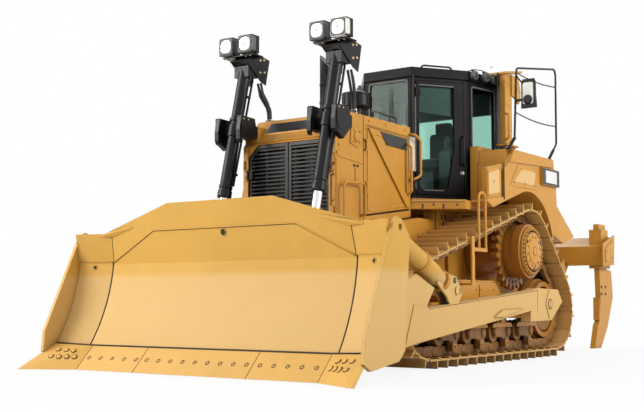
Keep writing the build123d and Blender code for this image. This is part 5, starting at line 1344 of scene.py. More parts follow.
def make_cab_trim(sizes):
    """Gaskets, rails, wiper, lamps and roof parts of the cab."""
    trim = Piece("cab_gaskets", "tractor").use("cab_trim")
    front = [at(x, CAB_FRONT[1], z) for x, z in ((-0.275, 2.425), (0.275, 2.425), (0.275, 3.285),
            (-0.275, 3.285))]
    gasket(trim, front, Vector((0, -1, 0)), sizes.gasket_width)
    for _, side in SIDES:
        out = wall_out(side, CAB_NEAR, CAB_MIDDLE)
        long = math.dist(CAB_NEAR, CAB_MIDDLE)

        def spot(distance, z, lift=0.0):
            return on_wall(side, CAB_NEAR, CAB_MIDDLE, distance / long, z, lift)

        pane = [spot(0.075, 2.475), spot(0.555, 2.475), spot(0.555, 3.255), spot(0.075, 3.255)]
        gasket(trim, pane, out, sizes.gasket_width)
    trim.done(0.001)
    roof = Piece("cab_roof_trim", "tractor").use("black_paint")
    z = CAB_ROOF_Z
    for _, side in SIDES:
        for a, b in ((CAB_FRONT, CAB_NEAR), (CAB_NEAR, CAB_MIDDLE), (CAB_MIDDLE, CAB_REAR)):
            p, q = on_wall(side, a, b, 0.0, z - 0.085, 0.001), on_wall(side, a, b, 1.0, z - 0.085,
                    0.001)
            out = wall_out(side, a, b)
            roof.prism([p, q, q + Vector((0, 0, 0.014)), p + Vector((0, 0, 0.014))], out * 0.014)
        rail = [on_wall(side, CAB_FRONT, CAB_NEAR, s, zz, -0.035) for s, zz in (
            (0.18, z - 0.01), (0.22, z + 0.040), (0.72, z + 0.040), (0.76, z - 0.01))]
        roof.tube(bent(rail, 0.04, 5), 0.011, 12)
        post = [on_wall(side, CAB_FRONT, CAB_NEAR, 0.02, zz, 0.016) for zz in (1.92, 2.6, z - 0.10)]
        roof.tube(post, 0.013, 12)
        for share, lift in ((0.10, 0.02), (0.42, 0.04), (0.74, 0.03), (1.00, 0.02)):
            foot = on_wall(side, CAB_NEAR, CAB_MIDDLE, share, z - 0.05, lift + 0.04)
            out = wall_out(side, CAB_NEAR, CAB_MIDDLE)
            roof.use("cab_trim").lathe(foot - out * 0.05, out,
                    ((0, 0.030), (0.03, 0.050), (0.075, 0.055), (0.085, 0.052), (0.085, 0.044)), 28)
            roof.use("blank_plate").lathe(foot - out * 0.05, out,
                    ((0.078, 0.046), (0.088, 0.040), (0.092, 0.02)), 28)
            roof.use("black_paint").box(foot + Vector((-0.03, -0.012, 0.04)),
                    foot + Vector((0.0, 0.012, 0.075)))
        wire = [on_wall(side, CAB_NEAR, CAB_MIDDLE, s, z + h, 0.02) for s, h in (
            (0.0, 0.0), (0.15, 0.035), (0.45, 0.050), (0.75, 0.030), (1.0, -0.03))]
        roof.tube(bent(wire, 0.08, 5), 0.006, 8)
    panel = [(-0.25, -0.98), (0.25, -0.98), (0.66, -0.44), (0.74, 0.06), (0.70, 0.33),
             (-0.70, 0.33), (-0.74, 0.06), (-0.66, -0.44)]
    roof.prism([at(x, y, z - 0.001) for x, y in panel], (0, 0, 0.013))
    for x, y in ((-0.62, -0.30), (0.62, -0.30), (-0.62, 0.26), (0.62, 0.26), (0, -0.90)):
        roof.bolt(at(x, y, z + 0.012), (0, 0, 1), 0.011)
    for x in (-0.30, 0.30):
        lamp = at(x, 0.40, z - 0.06)
        roof.use("cab_trim").lathe(lamp, (0, 1, 0),
                ((-0.02, 0.03), (0.02, 0.048), (0.05, 0.052), (0.052, 0.044)), 24)
        roof.use("lamp_lens").lathe(lamp, (0, 1, 0), ((0.04, 0.046), (0.054, 0.042), (0.056, 0.02)),
                24)
        roof.use("black_paint")
    roof.done(0.003, 40)
    wiper = Piece("wipers", "tractor").use("rubber")
    y = CAB_FRONT[1]
    wiper.lathe(at(0.0, y, 2.37), (0, -1, 0), ((-0.002, 0.024), (0.022, 0.024), (0.03, 0.016)), 20)
    wiper.tube([at(0.0, y - 0.024, 2.37), at(0.02, y - 0.026, 2.65), at(0.035, y - 0.020, 2.92)],
               0.006, 8)
    wiper.box(at(0.028, y - 0.018, 2.66), at(0.040, y - 0.007, 3.18))
    wiper.done(0.001)


def make_cushions():
    """Crowned seat, back, headrest and armrests in place of the plain seat."""
    def cushion(name, low, high, crown, material="seat_fabric"):
        low, high = Vector(low), Vector(high)
        middle, half = (low + high) / 2, (high - low) / 2
        bm = bmesh.new()
        bmesh.ops.create_cube(bm, size=2)
        bmesh.ops.subdivide_edges(bm, edges=bm.edges, cuts=7, use_grid_fill=True)
        for v in bm.verts:
            u = v.co.copy()
            puff = [1 - abs(c) ** 4 for c in u]
            v.co = Vector((
                middle.x + u.x * half.x * (1 - 0.05 * (abs(u.y) ** 6 + abs(u.z) ** 6) / 2),
                middle.y + u.y * half.y * (1 - 0.10 * (abs(u.x) ** 6 + abs(u.z) ** 6) / 2),
                middle.z + u.z * half.z * (1 - 0.10 * (abs(u.x) ** 6 + abs(u.y) ** 6) / 2)))
            if crown == "up":
                v.co.z += 0.030 * puff[0] * puff[1] * max(u.z, 0) + 0.012 * max(abs(u.x) - 0.7,
                        0) * max(u.z, 0)
            else:
                v.co.y -= 0.024 * puff[0] * puff[2] * max(-u.y, 0)
        mesh = bpy.data.meshes.new(name)
        bm.to_mesh(mesh)
        bm.free()
        for polygon in mesh.polygons:
            polygon.use_smooth = True
        mesh.materials.append(MATERIALS[material])
        obj = bpy.data.objects.new(name, mesh)
        bpy.context.scene.collection.objects.link(obj)
        smooth = obj.modifiers.new("smooth", "SUBSURF")
        smooth.levels = smooth.render_levels = 1
        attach(obj, "tractor")
        return obj

    pieces = [
        cushion("seat_base_cushion", at(-0.20, -0.42, 2.285), at(0.28, 0.08, 2.405), "up"),
        cushion("seat_back_cushion", at(-0.08, 0.040, 2.400), at(0.26, 0.155, 2.80), "front"),
        cushion("seat_headrest", at(0.00, 0.050, 2.81), at(0.20, 0.150, 2.93), "front"),
        cushion("seat_armrest_left", at(0.285, -0.30, 2.49), at(0.345, 0.06, 2.55), "up"),
        cushion("seat_armrest_right", at(-0.275, -0.30, 2.49), at(-0.215, 0.06, 2.55), "up"),
    ]
    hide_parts("seat")
    frame = Piece("seat_frame", "tractor").use("cab_trim")
    frame.side_prism(-0.18, ((-0.36, 1.935), (0.06, 1.935), (0.02, 2.05), (0.04, 2.29),
            (-0.34, 2.29), (-0.32, 2.05)), 0.36)
    frame.side_prism(-0.05, ((0.08, 2.32), (0.15, 2.36), (0.17, 2.90), (0.156, 2.90), (0.14, 2.42),
            (0.08, 2.38)), 0.28)
    for x in (-0.245, 0.315):
        frame.tube(bent([at(x, 0.13, 2.40), at(x, 0.10, 2.485), at(x, -0.20, 2.485)], 0.05, 4),
                   0.014, 10)
    frame.done(0.008, 40)


def make_cab_inside():
    """Levers, dash, screen, pedals and rear panel that show through the glass."""
    inside = Piece("cab_inside", "tractor").use("cab_trim")
    for way in (-1, 1):
        x = way * 0.405
        inside.use("rubber").lathe(at(x, -0.30, 2.40), (0, 0, 1),
                ((-0.03, 0.045), (0.0, 0.045), (0.02, 0.030), (0.06, 0.016)), 20)
        inside.use("dark_steel").rod(at(x, -0.30, 2.44), at(x - way * 0.01, -0.34, 2.60), 0.008, 10)
        inside.use("cab_trim").lathe(at(x - way * 0.01, -0.34, 2.585), Vector((0, -0.2, 1)),
                ((0, 0.014), (0.02, 0.026), (0.06, 0.030), (0.09, 0.024), (0.10, 0.01)), 20)
        for k in range(4):
            inside.box(at(x - 0.03, -0.18 + 0.05 * k, 2.40), at(x + 0.03, -0.155 + 0.05 * k, 2.412))
    inside.side_prism(-0.26, ((-1.00, 1.95), (-0.88, 1.95), (-0.86, 2.32), (-0.93, 2.44),
            (-1.00, 2.44)), 0.52)
    inside.use("mirror_glass").side_prism(-0.12,
            ((-0.862, 2.335), (-0.922, 2.432), (-0.919, 2.434), (-0.858, 2.337)), 0.24)
    inside.use("cab_trim")
    for x in (-0.14, 0.14):
        inside.side_prism(x - 0.06, ((-0.80, 1.945), (-0.70, 1.945), (-0.74, 2.06), (-0.76, 2.06)),
                0.12)
    inside.box(at(-0.65, 0.30, 3.02), at(0.65, 0.36, 3.30))
    inside.done(0.006, 40)


# ---- tank, roll-over frame, deck, arms and ripper ----
FENDER_X = 1.300
RAIL_X = 1.270
MIRROR_X, MIRROR_Z = (1.356, 1.512), (2.96, 3.265)
GUARD_CHAINS = (((-0.282, 2.900), (0.936, 2.896)), ((-0.243, 3.385), (0.946, 3.407)))
CHAIN_LINKS = 60
CHAIN_SAG, CHAIN_WIRE_R = 0.03, 0.0028
ROPS_TOP_Z = 3.540
TRUNNION = (0.0, 0.637)
BRACE_X, BRACE_R = 1.472, 0.098


def plate_on(piece, side, x, outline, thick):
    """Flat plate on a face that looks sideways."""
    piece.side_prism(side * (x - 0.001), outline, side * (thick + 0.001))


def make_fender_trim(name, side):
    """Tank panel, flange bolts, step box, filler cap and lamp box of a fender."""
    trim = Piece(f"fender_trim_{name}", "tractor").use("yellow_paint")
    trim.side_bolts(side, side * FENDER_X, ((-0.40, 2.41), (-0.05, 2.415), (0.30, 2.415),
            (0.66, 2.415), (-0.50, 2.31), (0.60, 2.335)), 0.012)
    plate_on(trim, side, FENDER_X, ((-0.23, 2.24), (0.235, 2.24), (0.16, 2.045), (-0.46, 2.045)),
             0.006)
    trim.side_bolts(side, side * 1.306, ((-0.20, 2.225), (0.20, 2.225), (0.14, 2.06), (-0.42, 2.06),
            (-0.12, 2.06)), 0.010)
    plate_on(trim, side, 1.290, ((-1.085, 2.13), (-0.755, 2.21), (-0.755, 1.87), (-1.085, 1.82)),
             0.005)
    trim.side_bolts(side, side * 1.295, ((-1.06, 2.11), (-0.78, 2.18), (-0.78, 1.89),
            (-1.06, 1.845)), 0.009)
    trim.use("pale_paint")
    plate_on(trim, side, 1.295, ((-1.07, 2.10), (-0.80, 2.165), (-0.80, 1.90), (-1.07, 1.855)),
             0.004)
    plate_on(trim, side, 1.306, ((-0.20, 2.225), (0.20, 2.225), (0.14, 2.06), (-0.42, 2.06)), 0.001)
    trim.use("dark_gap").box(at(side * 1.297, -0.945, 1.99), at(side * 1.301, -0.935, 2.03))
    plate_on(trim, side, FENDER_X, ((-0.70, 2.25), (-0.672, 2.25), (-0.672, 1.83), (-0.70, 1.83)),
             0.004)
    trim.use("black_paint").lathe(at(side * 1.10, -0.32, 2.440), (0, 0, 1),
            ((-0.002, 0.075), (0.02, 0.075), (0.045, 0.068), (0.05, 0.055), (0.05, 0.02)), 36)
    trim.box(at(side * 1.10 - 0.012, -0.385, 2.488), at(side * 1.10 + 0.012, -0.255, 2.502))
    trim.use("yellow_paint")
    for x in (0.95, 1.10, 1.25):
        trim.bolt(at(side * x, 0.30, 2.440), (0, 0, 1), 0.012)
        trim.bolt(at(side * x, -0.46, 2.440), (0, 0, 1), 0.012)
    trim.use("blank_plate")
    plate_on(trim, side, 1.335, ((0.335, 2.30), (0.845, 2.30), (0.845, 2.10), (0.335, 2.10)), 0.004)
    trim.use("lamp_shell")
    plate_on(trim, side, 1.339, ((0.42, 2.275), (0.76, 2.275), (0.76, 2.125), (0.42, 2.125)), 0.003)
    trim.use("red_lens").box(at(side * 1.285, 0.849, 2.12), at(side * 1.333, 0.858, 2.28))
    trim.done(0.002, 40)


def hung(start, end, share, sag):
    """Point of a slack line between two ends."""
    return start.lerp(end, share) + Vector((0, 0, -4 * sag * share * (1 - share)))


def make_guard_rail_trim(name, side, sizes):
    """Mirror, clamps, spring and chains of the guard rail."""
    trim = Piece(f"guard_rail_trim_{name}", "tractor").use("black_paint")
    x = side * RAIL_X
    (low, high), (foot, top) = MIRROR_X, MIRROR_Z
    y = -0.255
    corners = []
    for cx, cz, start in ((high, top, 0), (low, top, 90), (low, foot, 180), (high, foot, 270)):
        sx = 1 if cx == high else -1
        sz = 1 if cz == top else -1
        for k in range(5):
            angle = math.radians(start + 22.5 * k)
            corners.append((cx - sx * 0.03 + 0.03 * math.cos(angle),
                    cz - sz * 0.03 + 0.03 * math.sin(angle)))

    def ring(grow, depth):
        mx, mz = (low + high) / 2, (foot + top) / 2
        return [at(side * (mx + (cx - mx) * grow), y + depth, mz + (cz - mz) * grow) for cx,
                cz in corners]

    trim.rings([ring(1.10, -0.024), ring(1.12, 0.0), ring(1.08, 0.022), ring(0.6, 0.036)])
    trim.use("mirror_glass").rings([ring(0.9, 0.030), ring(0.9, 0.038)])
    trim.use("lamp_shell").rings([ring(0.84, -0.020), ring(0.84, -0.028)])
    trim.use("black_paint").lathe(at(side * 1.430, y - 0.026, 3.035), (0, -1, 0),
            ((0, 0.058), (0.012, 0.056), (0.018, 0.046)), 32)
    trim.tube(bent([at(x, -0.245, 3.36), at(side * 1.31, -0.26, 3.30),
                    at(side * 1.36, -0.26, 3.24)], 0.04, 4), 0.009, 10)
    for yy, zz in ((-0.478, 2.45), (0.684, 2.45)):
        trim.lathe(at(x, yy, zz - 0.012), (0, 0, 1), ((0, 0.032), (0.012, 0.032), (0.02, 0.018)),
                   24)
    coil = []
    for k in range(73):
        angle = 2 * math.pi * k / 8
        coil.append(at(x + 0.020 * math.cos(angle),
                       -0.405 + 0.020 * math.sin(angle) + 0.10 * k / 72, 2.515 + 0.075 * k / 72))
    trim.tube(coil, 0.0035, 6)
    trim.use("dark_steel")
    for low_end, high_end in GUARD_CHAINS:
        start, end = at(x, *low_end), at(x, *high_end)
        for k in range(CHAIN_LINKS):
            s = hung(start, end, k / CHAIN_LINKS, sizes.chain_sag)
            e = hung(start, end, (k + 1) / CHAIN_LINKS, sizes.chain_sag)
            run = (e - s).normalized()
            flat = Vector((0, 0, 1)).cross(run).normalized() if k % 2 else Vector((0, 0, 1))
            link = []
            for i in range(12):
                angle = 2 * math.pi * i / 12
                along = run * math.cos(angle) * (e - s).length * 0.68
                link.append((s + e) / 2 + along + flat * math.sin(angle) * 0.008)
            trim.tube(link, sizes.chain_wire, 6, loop=True)
    trim.done()


def make_rops_trim():
    """Foot studs, ribs, grab rails, pipes and roof bolts of the roll-over frame."""
    trim = Piece("rops_trim", "tractor").use("yellow_paint")
    for _, side in SIDES:
        for y in (-0.045, 0.095):
            for x in (0.990, 1.018):
                trim.use("bright_steel").bolt(at(side * x, y, 2.567), (0, 0, 1), 0.013)
                trim.rod(at(side * x, y, 2.57), at(side * x, y, 2.60), 0.007, 10)
        trim.use("yellow_paint")
        for z in (2.75, 3.05, 3.32):
            plate_on(trim, side, 1.040, ((-0.05, z), (0.10, z), (0.10, z + 0.012),
                    (-0.05, z + 0.012)), 0.005)
        rail = [at(side * 1.05, -0.07, 2.62), at(side * 1.11, -0.12, 2.64),
                at(side * 1.11, -0.12, 2.92), at(side * 1.04, -0.06, 2.94)]
        trim.tube(bent(rail, 0.04, 5), 0.012, 12)
        trim.use("black_paint")
        for k, y in enumerate((-0.12, -0.155)):
            bars = [at(side * 0.93, y, 2.46), at(side * (0.95 + 0.03 * k), y, 3.20),
                    at(side * 0.96, y + 0.05, 3.44)]
            trim.tube(bent(bars, 0.06, 4), 0.010, 10)
        trim.use("yellow_paint")
    for x in (-0.85, -0.45, 0, 0.45, 0.85):
        for y in (-0.04, 0.34):
            trim.bolt(at(x, y, ROPS_TOP_Z), (0, 0, 1), 0.011)
    trim.done(0.003, 40)


def make_deck_trim():
    """Edge strip, bolt groups, side plate and tread studs of the deck."""
    trim = Piece("deck_trim", "tractor").use("yellow_paint")
    for _, side in SIDES:
        a, b = (0.592, -1.581), (1.100, -1.251)
        run = Vector((side * (b[0] - a[0]), b[1] - a[1], 0))
        out = Vector((side * 0.545, -0.839, 0)).normalized()
        p, q = at(side * a[0], a[1], 1.772), at(side * b[0], b[1], 1.772)
        trim.use("shoe_paint").prism([p, q, q + Vector((0, 0, 0.022)), p + Vector((0, 0, 0.022))],
                out * 0.012)
        trim.use("dark_steel")
        for share, zs in ((0.22, (1.735, 1.708)), (0.42, (1.74,)), (0.60, (1.735, 1.708)),
                (0.85, (1.735,))):
            for z in zs:
                trim.bolt(at(side * a[0], a[1], z) + run * share, out, 0.010)
        for y, z in ((-1.10, 1.664), (-1.02, 1.664), (-1.06, 1.575), (-1.10, 1.486),
                     (-1.02, 1.486)):
            trim.bolt(at(side * 1.100, y, z + 0.04), (side, 0, 0), 0.011)
        trim.use("yellow_paint").side_prism(side * 0.700,
                ((-1.22, 1.700), (-1.22, 1.43), (-0.60, 1.43), (-0.60, 1.700)), side * 0.012)
        trim.use("dark_steel")
        for y, z in ((-1.10, 1.640), (-1.02, 1.640), (-1.10, 1.610), (-1.02, 1.610), (-1.06, 1.555),
                     (-1.10, 1.500), (-1.02, 1.500), (-1.10, 1.470), (-1.02, 1.470)):
            trim.lathe(at(side * 0.711, y, z), (side, 0, 0), ((0, 0.015), (0.010, 0.014)), 12)
        trim.use("black_paint")
        for k in range(5):
            for j in range(3):
                x, y = 0.70 + 0.075 * k, -1.20 + 0.09 * j
                if y < a[1] + (x - a[0]) / (b[0] - a[0]) * (b[1] - a[1]) + 0.06:
                    continue
                trim.lathe(at(side * x, y, 1.790), (0, 0, 1),
                        ((-0.001, 0.020), (0.004, 0.018), (0.005, 0.010)), 14)
    trim.done(0.0015, 40)


ARM_TOP = ((-2.879, 0.609), (-0.300, 0.806))
BRACE_TOP, BRACE_LOW = (-3.620, 1.355), (-2.296, 0.775)


def make_arm_trim(name, side):
    """Weld beads, pin caps and collars of a push arm and its brace."""
    trim = Piece(f"push_arm_trim_{name}", "blade").use("blade_paint")
    axis = (side, 0, 0)
    y, z = TRUNNION
    diamond = ((y - 0.115, z), (y - 0.02, z + 0.165), (y + 0.02, z + 0.165), (y + 0.115, z),
               (y + 0.02, z - 0.165), (y - 0.02, z - 0.165))
    trim.side_prism(side * 1.527, diamond, side * 0.016)
    trim.use("dark_gap").lathe(at(side * 1.541, y, z), axis, ((0, 0.062), (0.004, 0.062)), 32)
    trim.use("shoe_paint").lathe(at(side * 1.541, y, z), axis,
            ((0, 0.050), (0.007, 0.048), (0.007, 0.02)), 32)
    trim.use("dark_gap")
    seam = ((-2.86, 0.596), (-0.33, 0.789), (-0.33, 0.795), (-2.86, 0.602))
    trim.side_prism(side * 1.531, seam, side * 0.0015)
    trim.side_prism(side * 1.531, ((-0.336, 0.80), (-0.328, 0.80), (-0.334, 0.55), (-0.342, 0.55)),
                    side * 0.0015)
    trim.use("yellow_paint")
    start, end = Vector((BRACE_TOP[0], BRACE_TOP[1])), Vector((BRACE_LOW[0], BRACE_LOW[1]))
    run = (end - start).normalized()
    axis_b = Vector((0, run.x, run.y))
    long = (end - start).length

    def on_brace(distance):
        p = start + run * distance
        return at(side * BRACE_X, p.x, p.y)

    r = BRACE_R
    for distance, grow, width in ((0.30, 0.010, 0.040), (long * 0.52, 0.012, 0.05),
            (long - 0.26, 0.010, 0.04)):
        trim.lathe(on_brace(distance), axis_b,
                   ((-0.006, r + 0.0005), (0.0, r + grow), (width, r + grow),
                    (width + 0.006, r + 0.0005)), 40)
    trim.use("dark_steel")
    for y, z in ((-2.335, 0.878), (-2.248, 0.773)):
        trim.lathe(at(side * 1.530, y, z), axis, ((-0.004, 0.034), (0.006, 0.032), (0.008, 0.02)),
                   24)
    trim.use("yellow_paint")
    top0, top1 = ARM_TOP
    for share in (0.18, 0.42, 0.66):
        y = top0[0] + (top1[0] - top0[0]) * share
        z = top0[1] + (top1[1] - top0[1]) * share
        trim.box(at(side * BRACE_X - 0.05, y - 0.004, z - 0.001),
                 at(side * BRACE_X + 0.05, y + 0.004, z + 0.004))
    trim.done(0.002, 40)


def make_ripper_trim():
    """Pins, shank guards and end plates of the ripper, and caps on the rear of the case."""
    beam = Piece("ripper_beam_trim", "ripper_beam").use("yellow_paint")
    for x in (-1.075, 0.0, 1.075):
        for y in (2.84, 3.0):
            for z in (0.77, 0.87):
                beam.use("dark_steel")
                for way in (-1, 1):
                    beam.lathe(at(x + way * 0.038, y, z), (way, 0, 0),
                            ((-0.002, 0.022), (0.008, 0.020), (0.010, 0.012)), 18)
        beam.use("edge_steel")
        for way in (-1, 1):
            beam.lathe(at(x + way * 0.038, 2.72, 0.24), (way, 0, 0),
                       ((-0.002, 0.024), (0.006, 0.022), (0.007, 0.012)), 18)
        beam.use("yellow_paint")
        guard = ((2.744, 0.72), (2.740, 0.43), (2.716, 0.40), (2.722, 0.44), (2.728, 0.72))
        beam.side_prism(x - 0.044, guard, 0.088)
    for way in (-1, 1):
        x = way * 1.232
        plate = ((2.70, 1.40), (2.70, 1.20), (3.00, 1.25), (3.01, 1.55))
        beam.side_prism(x - way * 0.001, plate, way * 0.010)
        for y, z in ((2.74, 1.37), (2.74, 1.24), (2.96, 1.28), (2.97, 1.50)):
            beam.bolt(at(x + way * 0.009, y, z), (way, 0, 0), 0.012)
    beam.done(0.002, 40)
    rear = Piece("rear_trim", "tractor").use("yellow_paint")
    for way in (-1, 1):
        rear.lathe(at(way * 0.68, 1.380, 0.95), (way, 0, 0),
                   ((-0.10, 0.05), (0.006, 0.05), (0.012, 0.042), (0.012, 0.02)), 28)
    rear.done(0.002, 40)


def dress_frame():
    """Give each CAD node its finish."""
    for name, node in frame["nodes"].items():
        material = MATERIALS[node_material(name)]
        if not node.material_slots:
            node.data.materials.append(material)
        for slot in node.material_slots:
            slot.material = material


# ---- stage ----
def make_stage(settings):
    scene = bpy.context.scene
    scene.view_settings.view_transform = "Standard"

    camera = bpy.data.objects.new("camera", bpy.data.cameras.new("camera"))
    camera.data.lens = settings.lens
    camera.data.sensor_width = 36
    camera.data.shift_x = -0.0079
    camera.data.clip_end = 200
    camera.location = CAMERA_AT
    camera.rotation_euler = Vector(CAMERA_LOOK).to_track_quat("-Z", "Y").to_euler()
    scene.collection.objects.link(camera)
    scene.camera = camera

    sky = Nodes("studio", world=True)
    scene.world = sky.owner
    seen = sky.add("ShaderNodeBackground", Color=(1, 1, 1, 1), Strength=1.0)
    lit = sky.add("ShaderNodeBackground", Strength=0.55)
    split = sky.add("ShaderNodeSeparateXYZ")
    sky.link(sky.coords.outputs["Generated"], split.inputs[0])
    sky.link(sky.ramp(split.outputs["Z"], ((0.0, (0.30, 0.29, 0.28)), (0.75, 1.0))),
             lit.inputs["Color"])
    sky.two_shaders(sky.in_view(), lit, seen)

    for name, place, aim, size, power, colour in (
        ("key", (-9.0, -11.0, 7.5), (0, -2.5, 1.2), 7.0, 1650, (1.0, 0.97, 0.92)),
        ("front", (4.0, -15.0, 4.0), (0, -3.0, 1.0), 6.0, 220, (1.0, 0.98, 0.95)),
        ("side", (12.0, 1.0, 7.0), (0, 0, 1.5), 5.0, 1000, (1.0, 0.97, 0.93)),
        ("back", (-6.0, 9.0, 8.0), (0, 1.0, 2.0), 6.0, 500, (0.95, 0.97, 1.0)),
    ):
        light = bpy.data.objects.new(name, bpy.data.lights.new(name, "AREA"))
        light.data.size = size
        light.data.energy = power * settings.light
        light.data.color = colour
        light.location = place
        light.rotation_euler = (Vector(aim) - Vector(place)).to_track_quat("-Z", "Y").to_euler()
        scene.collection.objects.link(light)

    n = Nodes("floor")
    base = n.ramp(n.noise(0.4, 3.0), ((0.3, (0.74, 0.74, 0.74)), (0.8, (0.80, 0.80, 0.80))))
    shader = n.surface(base, 0.7, n.bump(n.noise(40.0), 0.05, 0.002))
    white = n.add("ShaderNodeEmission")
    far = n.add("ShaderNodeVectorMath", operation="LENGTH")
    n.link(n.coords.outputs["Object"], far.inputs[0])
    scaled = n.add("ShaderNodeMath", operation="DIVIDE")
    n.link(far.outputs["Value"], scaled.inputs[0])
    scaled.inputs[1].default_value = 16.0
    pale = n.add("ShaderNodeMath", operation="MULTIPLY")
    n.link(n.ramp(scaled.outputs[0], ((0.2, 0.88), (0.4, 1.0))), pale.inputs[0])
    n.link(n.in_view(), pale.inputs[1])
    n.two_shaders(pale.outputs[0], shader, white)
    bm = bmesh.new()
    bmesh.ops.create_grid(bm, x_segments=2, y_segments=2, size=60)
    mesh = bpy.data.meshes.new("floor")
    bm.to_mesh(mesh)
    bm.free()
    mesh.materials.append(n.owner)
    floor = bpy.data.objects.new("floor", mesh)
    floor.location.z = -0.001
    scene.collection.objects.link(floor)


# ---- add-on ----
def colour(name, description, default):
    return bpy.props.FloatVectorProperty(
        name=name, description=description, subtype="COLOR", min=0, max=1, default=default)


def length(name, description, default, most):
    return bpy.props.FloatProperty(
        name=name, description=description, unit="LENGTH", min=0.0005, max=most, default=default)


class TractorLooks(bpy.types.PropertyGroup):
    """Colours and light that a user would change."""

    yellow: colour("Yellow", "Paint of the body", YELLOW)
    # The default is the body yellow made paler: a painted sheen.
    blade: colour("Blade", "Paint of the blade and push arms", BLADE_YELLOW_WITH_SHEEN)
    black: colour("Black", "Paint of cylinders, rails and exhaust", BLACK)
    lens: bpy.props.FloatProperty(
        name="Lens", description="Focal length of the camera in millimetres", unit="CAMERA",
        min=10, max=300, default=LENS)
    light: bpy.props.FloatProperty(
        name="Light", description="Factor on the power of every lamp", subtype="FACTOR",
        min=0, max=4, default=1.0)


class TractorSizes(bpy.types.PropertyGroup):
    """Sizes of the trim that a user would change."""

    grouser: length("Grouser", "Height of the bar on each chain shoe", GROUSER, 0.12)
    bead_width: length("Weld bead", "Width of the bead under the spill guard", BEAD_WIDTH, 0.05)
    lamp_side: length("Work lamp", "Side of a square work lamp", LAMP_SIDE, 0.3)
    hose_radius: length("Lift hose", "Radius of a lift hose", HOSE_R, 0.03)
    gasket_width: length("Window gasket", "Width of the rubber round a window", GASKET_WIDTH, 0.04)
    chain_wire: length("Chain wire", "Radius of the wire of a guard chain", CHAIN_WIRE_R, 0.006)
    chain_sag: length("Chain sag", "How far a guard chain hangs down", CHAIN_SAG, 0.15)


class AddTractorStage(bpy.types.Operator):
    """Camera, floor, world and lamps."""

    bl_idname = "tractor.stage"
    bl_label = "Stage"

    def execute(self, context):
        make_stage(context.scene.tractor_looks)
        return {"FINISHED"}


class AddTractorFinishes(bpy.types.Operator):
    """Materials of every finish, laid on the CAD nodes."""

    bl_idname = "tractor.finishes"
    bl_label = "Finishes"

    def execute(self, context):
        MATERIALS.update(make_materials(context.scene.tractor_looks))
        dress_frame()
        return {"FINISHED"}


class AddTractorBlade(bpy.types.Operator):
    """Seams, bolts and beads of the blade and its cutting edge."""

    bl_idname = "tractor.blade"
    bl_label = "Blade"

    def execute(self, context):
        make_blade_trim(context.scene.tractor_sizes)
        make_edge_bolts()
        return {"FINISHED"}


class AddTractorTracks(bpy.types.Operator):
    """Chains, shoes and pins of both sides."""

    bl_idname = "tractor.tracks"
    bl_label = "Tracks"

    def execute(self, context):
        for name, side in SIDES:
            make_track(name, side, context.scene.tractor_sizes)
        return {"FINISHED"}


class AddTractorRunningGear(bpy.types.Operator):
    """Final drives, idlers, rollers and covers of the track frames."""

    bl_idname = "tractor.running_gear"
    bl_label = "Running gear"

    def execute(self, context):
        for name, side in SIDES:
            make_running_gear(name, side)
            make_track_frame_trim(name, side)
        return {"FINISHED"}


class AddTractorLiftCylinders(bpy.types.Operator):
    """Rings, glands, bolts and hoses of the lift cylinders."""

    bl_idname = "tractor.lift_cylinders"
    bl_label = "Lift cylinders"

    def execute(self, context):
        for name, side in SIDES:
            make_lift_trim(name, side)
            make_lift_hoses(name, side, context.scene.tractor_sizes)
        return {"FINISHED"}


class AddTractorLamps(bpy.types.Operator):
    """Work lamps on the heads of the lift cylinders."""

    bl_idname = "tractor.lamps"
    bl_label = "Work lamps"

    def execute(self, context):
        for name, side in SIDES:
            make_lamps(name, side, context.scene.tractor_sizes)
        return {"FINISHED"}


class AddTractorGrille(bpy.types.Operator):
    """Frame, clips and blank plate of the louvred front."""

    bl_idname = "tractor.grille"
    bl_label = "Grille"

    def execute(self, context):
        make_grille_trim()
        return {"FINISHED"}


class AddTractorNose(bpy.types.Operator):
    """Bosses, seams and pipes on the sides of the nose."""

    bl_idname = "tractor.nose"
    bl_label = "Nose"

    def execute(self, context):
        for name, side in SIDES:
            make_nose_side(name, side)
        return {"FINISHED"}


class AddTractorHood(bpy.types.Operator):
    """Rails, exhaust and air cleaner on the hood."""

    bl_idname = "tractor.hood"
    bl_label = "Hood"

    def execute(self, context):
        make_hood_trim()
        return {"FINISHED"}


class AddTractorEngineSides(bpy.types.Operator):
    """Ribs, blank signs and loops of the engine doors."""

    bl_idname = "tractor.engine_sides"
    bl_label = "Engine sides"

    def execute(self, context):
        for name, side in SIDES:
            make_engine_side(name, side)
        return {"FINISHED"}


class AddTractorCab(bpy.types.Operator):
    """Gaskets, rails, lamps and wiper of the cab."""

    bl_idname = "tractor.cab"
    bl_label = "Cab"

    def execute(self, context):
        make_cab_trim(context.scene.tractor_sizes)
        for name, side in SIDES:
            make_cab_door_trim(name, side, context.scene.tractor_sizes)
        return {"FINISHED"}


class AddTractorSeat(bpy.types.Operator):
    """Crowned cushions in place of the plain seat."""

    bl_idname = "tractor.seat"
    bl_label = "Seat"

    def execute(self, context):
        make_cushions()
        return {"FINISHED"}


class AddTractorCabInside(bpy.types.Operator):
    """Levers, dash and screens behind the glass."""

    bl_idname = "tractor.cab_inside"
    bl_label = "Cab inside"

    def execute(self, context):
        make_cab_inside()
        return {"FINISHED"}


class AddTractorRollOverFrame(bpy.types.Operator):
    """Studs, rails and bolts of the roll-over frame."""

    bl_idname = "tractor.roll_over_frame"
    bl_label = "Roll-over frame"

    def execute(self, context):
        make_rops_trim()
        return {"FINISHED"}


class AddTractorFenders(bpy.types.Operator):
    """Panels, caps and lamp boxes of the fender tanks."""

    bl_idname = "tractor.fenders"
    bl_label = "Fenders"

    def execute(self, context):
        for name, side in SIDES:
            make_fender_trim(name, side)
        return {"FINISHED"}


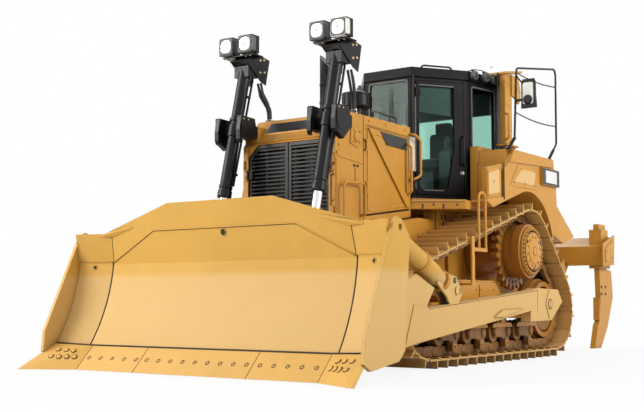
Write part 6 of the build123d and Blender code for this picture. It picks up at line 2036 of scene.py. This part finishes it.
class AddTractorGuardRail(bpy.types.Operator):
    """Mirror, spring and chains of the guard rail."""

    bl_idname = "tractor.guard_rail"
    bl_label = "Guard rail"

    def execute(self, context):
        make_guard_rail_trim("left", 1, context.scene.tractor_sizes)
        return {"FINISHED"}


class AddTractorDeck(bpy.types.Operator):
    """Edge strip and bolts of the deck."""

    bl_idname = "tractor.deck"
    bl_label = "Deck"

    def execute(self, context):
        make_deck_trim()
        return {"FINISHED"}


class AddTractorPushArms(bpy.types.Operator):
    """Caps, collars and seams of the push arms and braces."""

    bl_idname = "tractor.push_arms"
    bl_label = "Push arms"

    def execute(self, context):
        for name, side in SIDES:
            make_arm_trim(name, side)
        return {"FINISHED"}


class AddTractorRipper(bpy.types.Operator):
    """Pins, plates and guards of the ripper."""

    bl_idname = "tractor.ripper"
    bl_label = "Ripper"

    def execute(self, context):
        make_ripper_trim()
        return {"FINISHED"}


OPERATORS = (
    AddTractorStage,
    AddTractorFinishes,
    AddTractorBlade,
    AddTractorTracks,
    AddTractorRunningGear,
    AddTractorLiftCylinders,
    AddTractorLamps,
    AddTractorGrille,
    AddTractorNose,
    AddTractorHood,
    AddTractorEngineSides,
    AddTractorCab,
    AddTractorSeat,
    AddTractorCabInside,
    AddTractorRollOverFrame,
    AddTractorFenders,
    AddTractorGuardRail,
    AddTractorDeck,
    AddTractorPushArms,
    AddTractorRipper,
)


LOOK_KEYS = ("yellow", "blade", "black", "lens", "light")
SIZE_KEYS = ("grouser", "bead_width", "lamp_side", "hose_radius", "gasket_width", "chain_wire",
             "chain_sag")


class TractorPanel(bpy.types.Panel):
    """Lists the settings and the pieces."""

    bl_idname = "VIEW3D_PT_tractor"
    bl_label = "Tractor"
    bl_space_type = "VIEW_3D"
    bl_region_type = "UI"
    bl_category = "Tractor"

    def draw(self, context):
        scene = context.scene
        for group, keys in ((scene.tractor_looks, LOOK_KEYS), (scene.tractor_sizes, SIZE_KEYS)):
            for key in keys:
                self.layout.prop(group, key)
        for operator in OPERATORS:
            self.layout.operator(operator.bl_idname)


CLASSES = (TractorLooks, TractorSizes, *OPERATORS, TractorPanel)


def register():
    for kind in CLASSES:
        bpy.utils.register_class(kind)
    bpy.types.Scene.tractor_looks = bpy.props.PointerProperty(type=TractorLooks)
    bpy.types.Scene.tractor_sizes = bpy.props.PointerProperty(type=TractorSizes)


def unregister():
    del bpy.types.Scene.tractor_sizes
    del bpy.types.Scene.tractor_looks
    for kind in reversed(CLASSES):
        bpy.utils.unregister_class(kind)


def main():
    register()
    for operator in OPERATORS:
        group, name = operator.bl_idname.split(".")
        getattr(getattr(bpy.ops, group), name)()


if __name__ == "__main__":
    main()
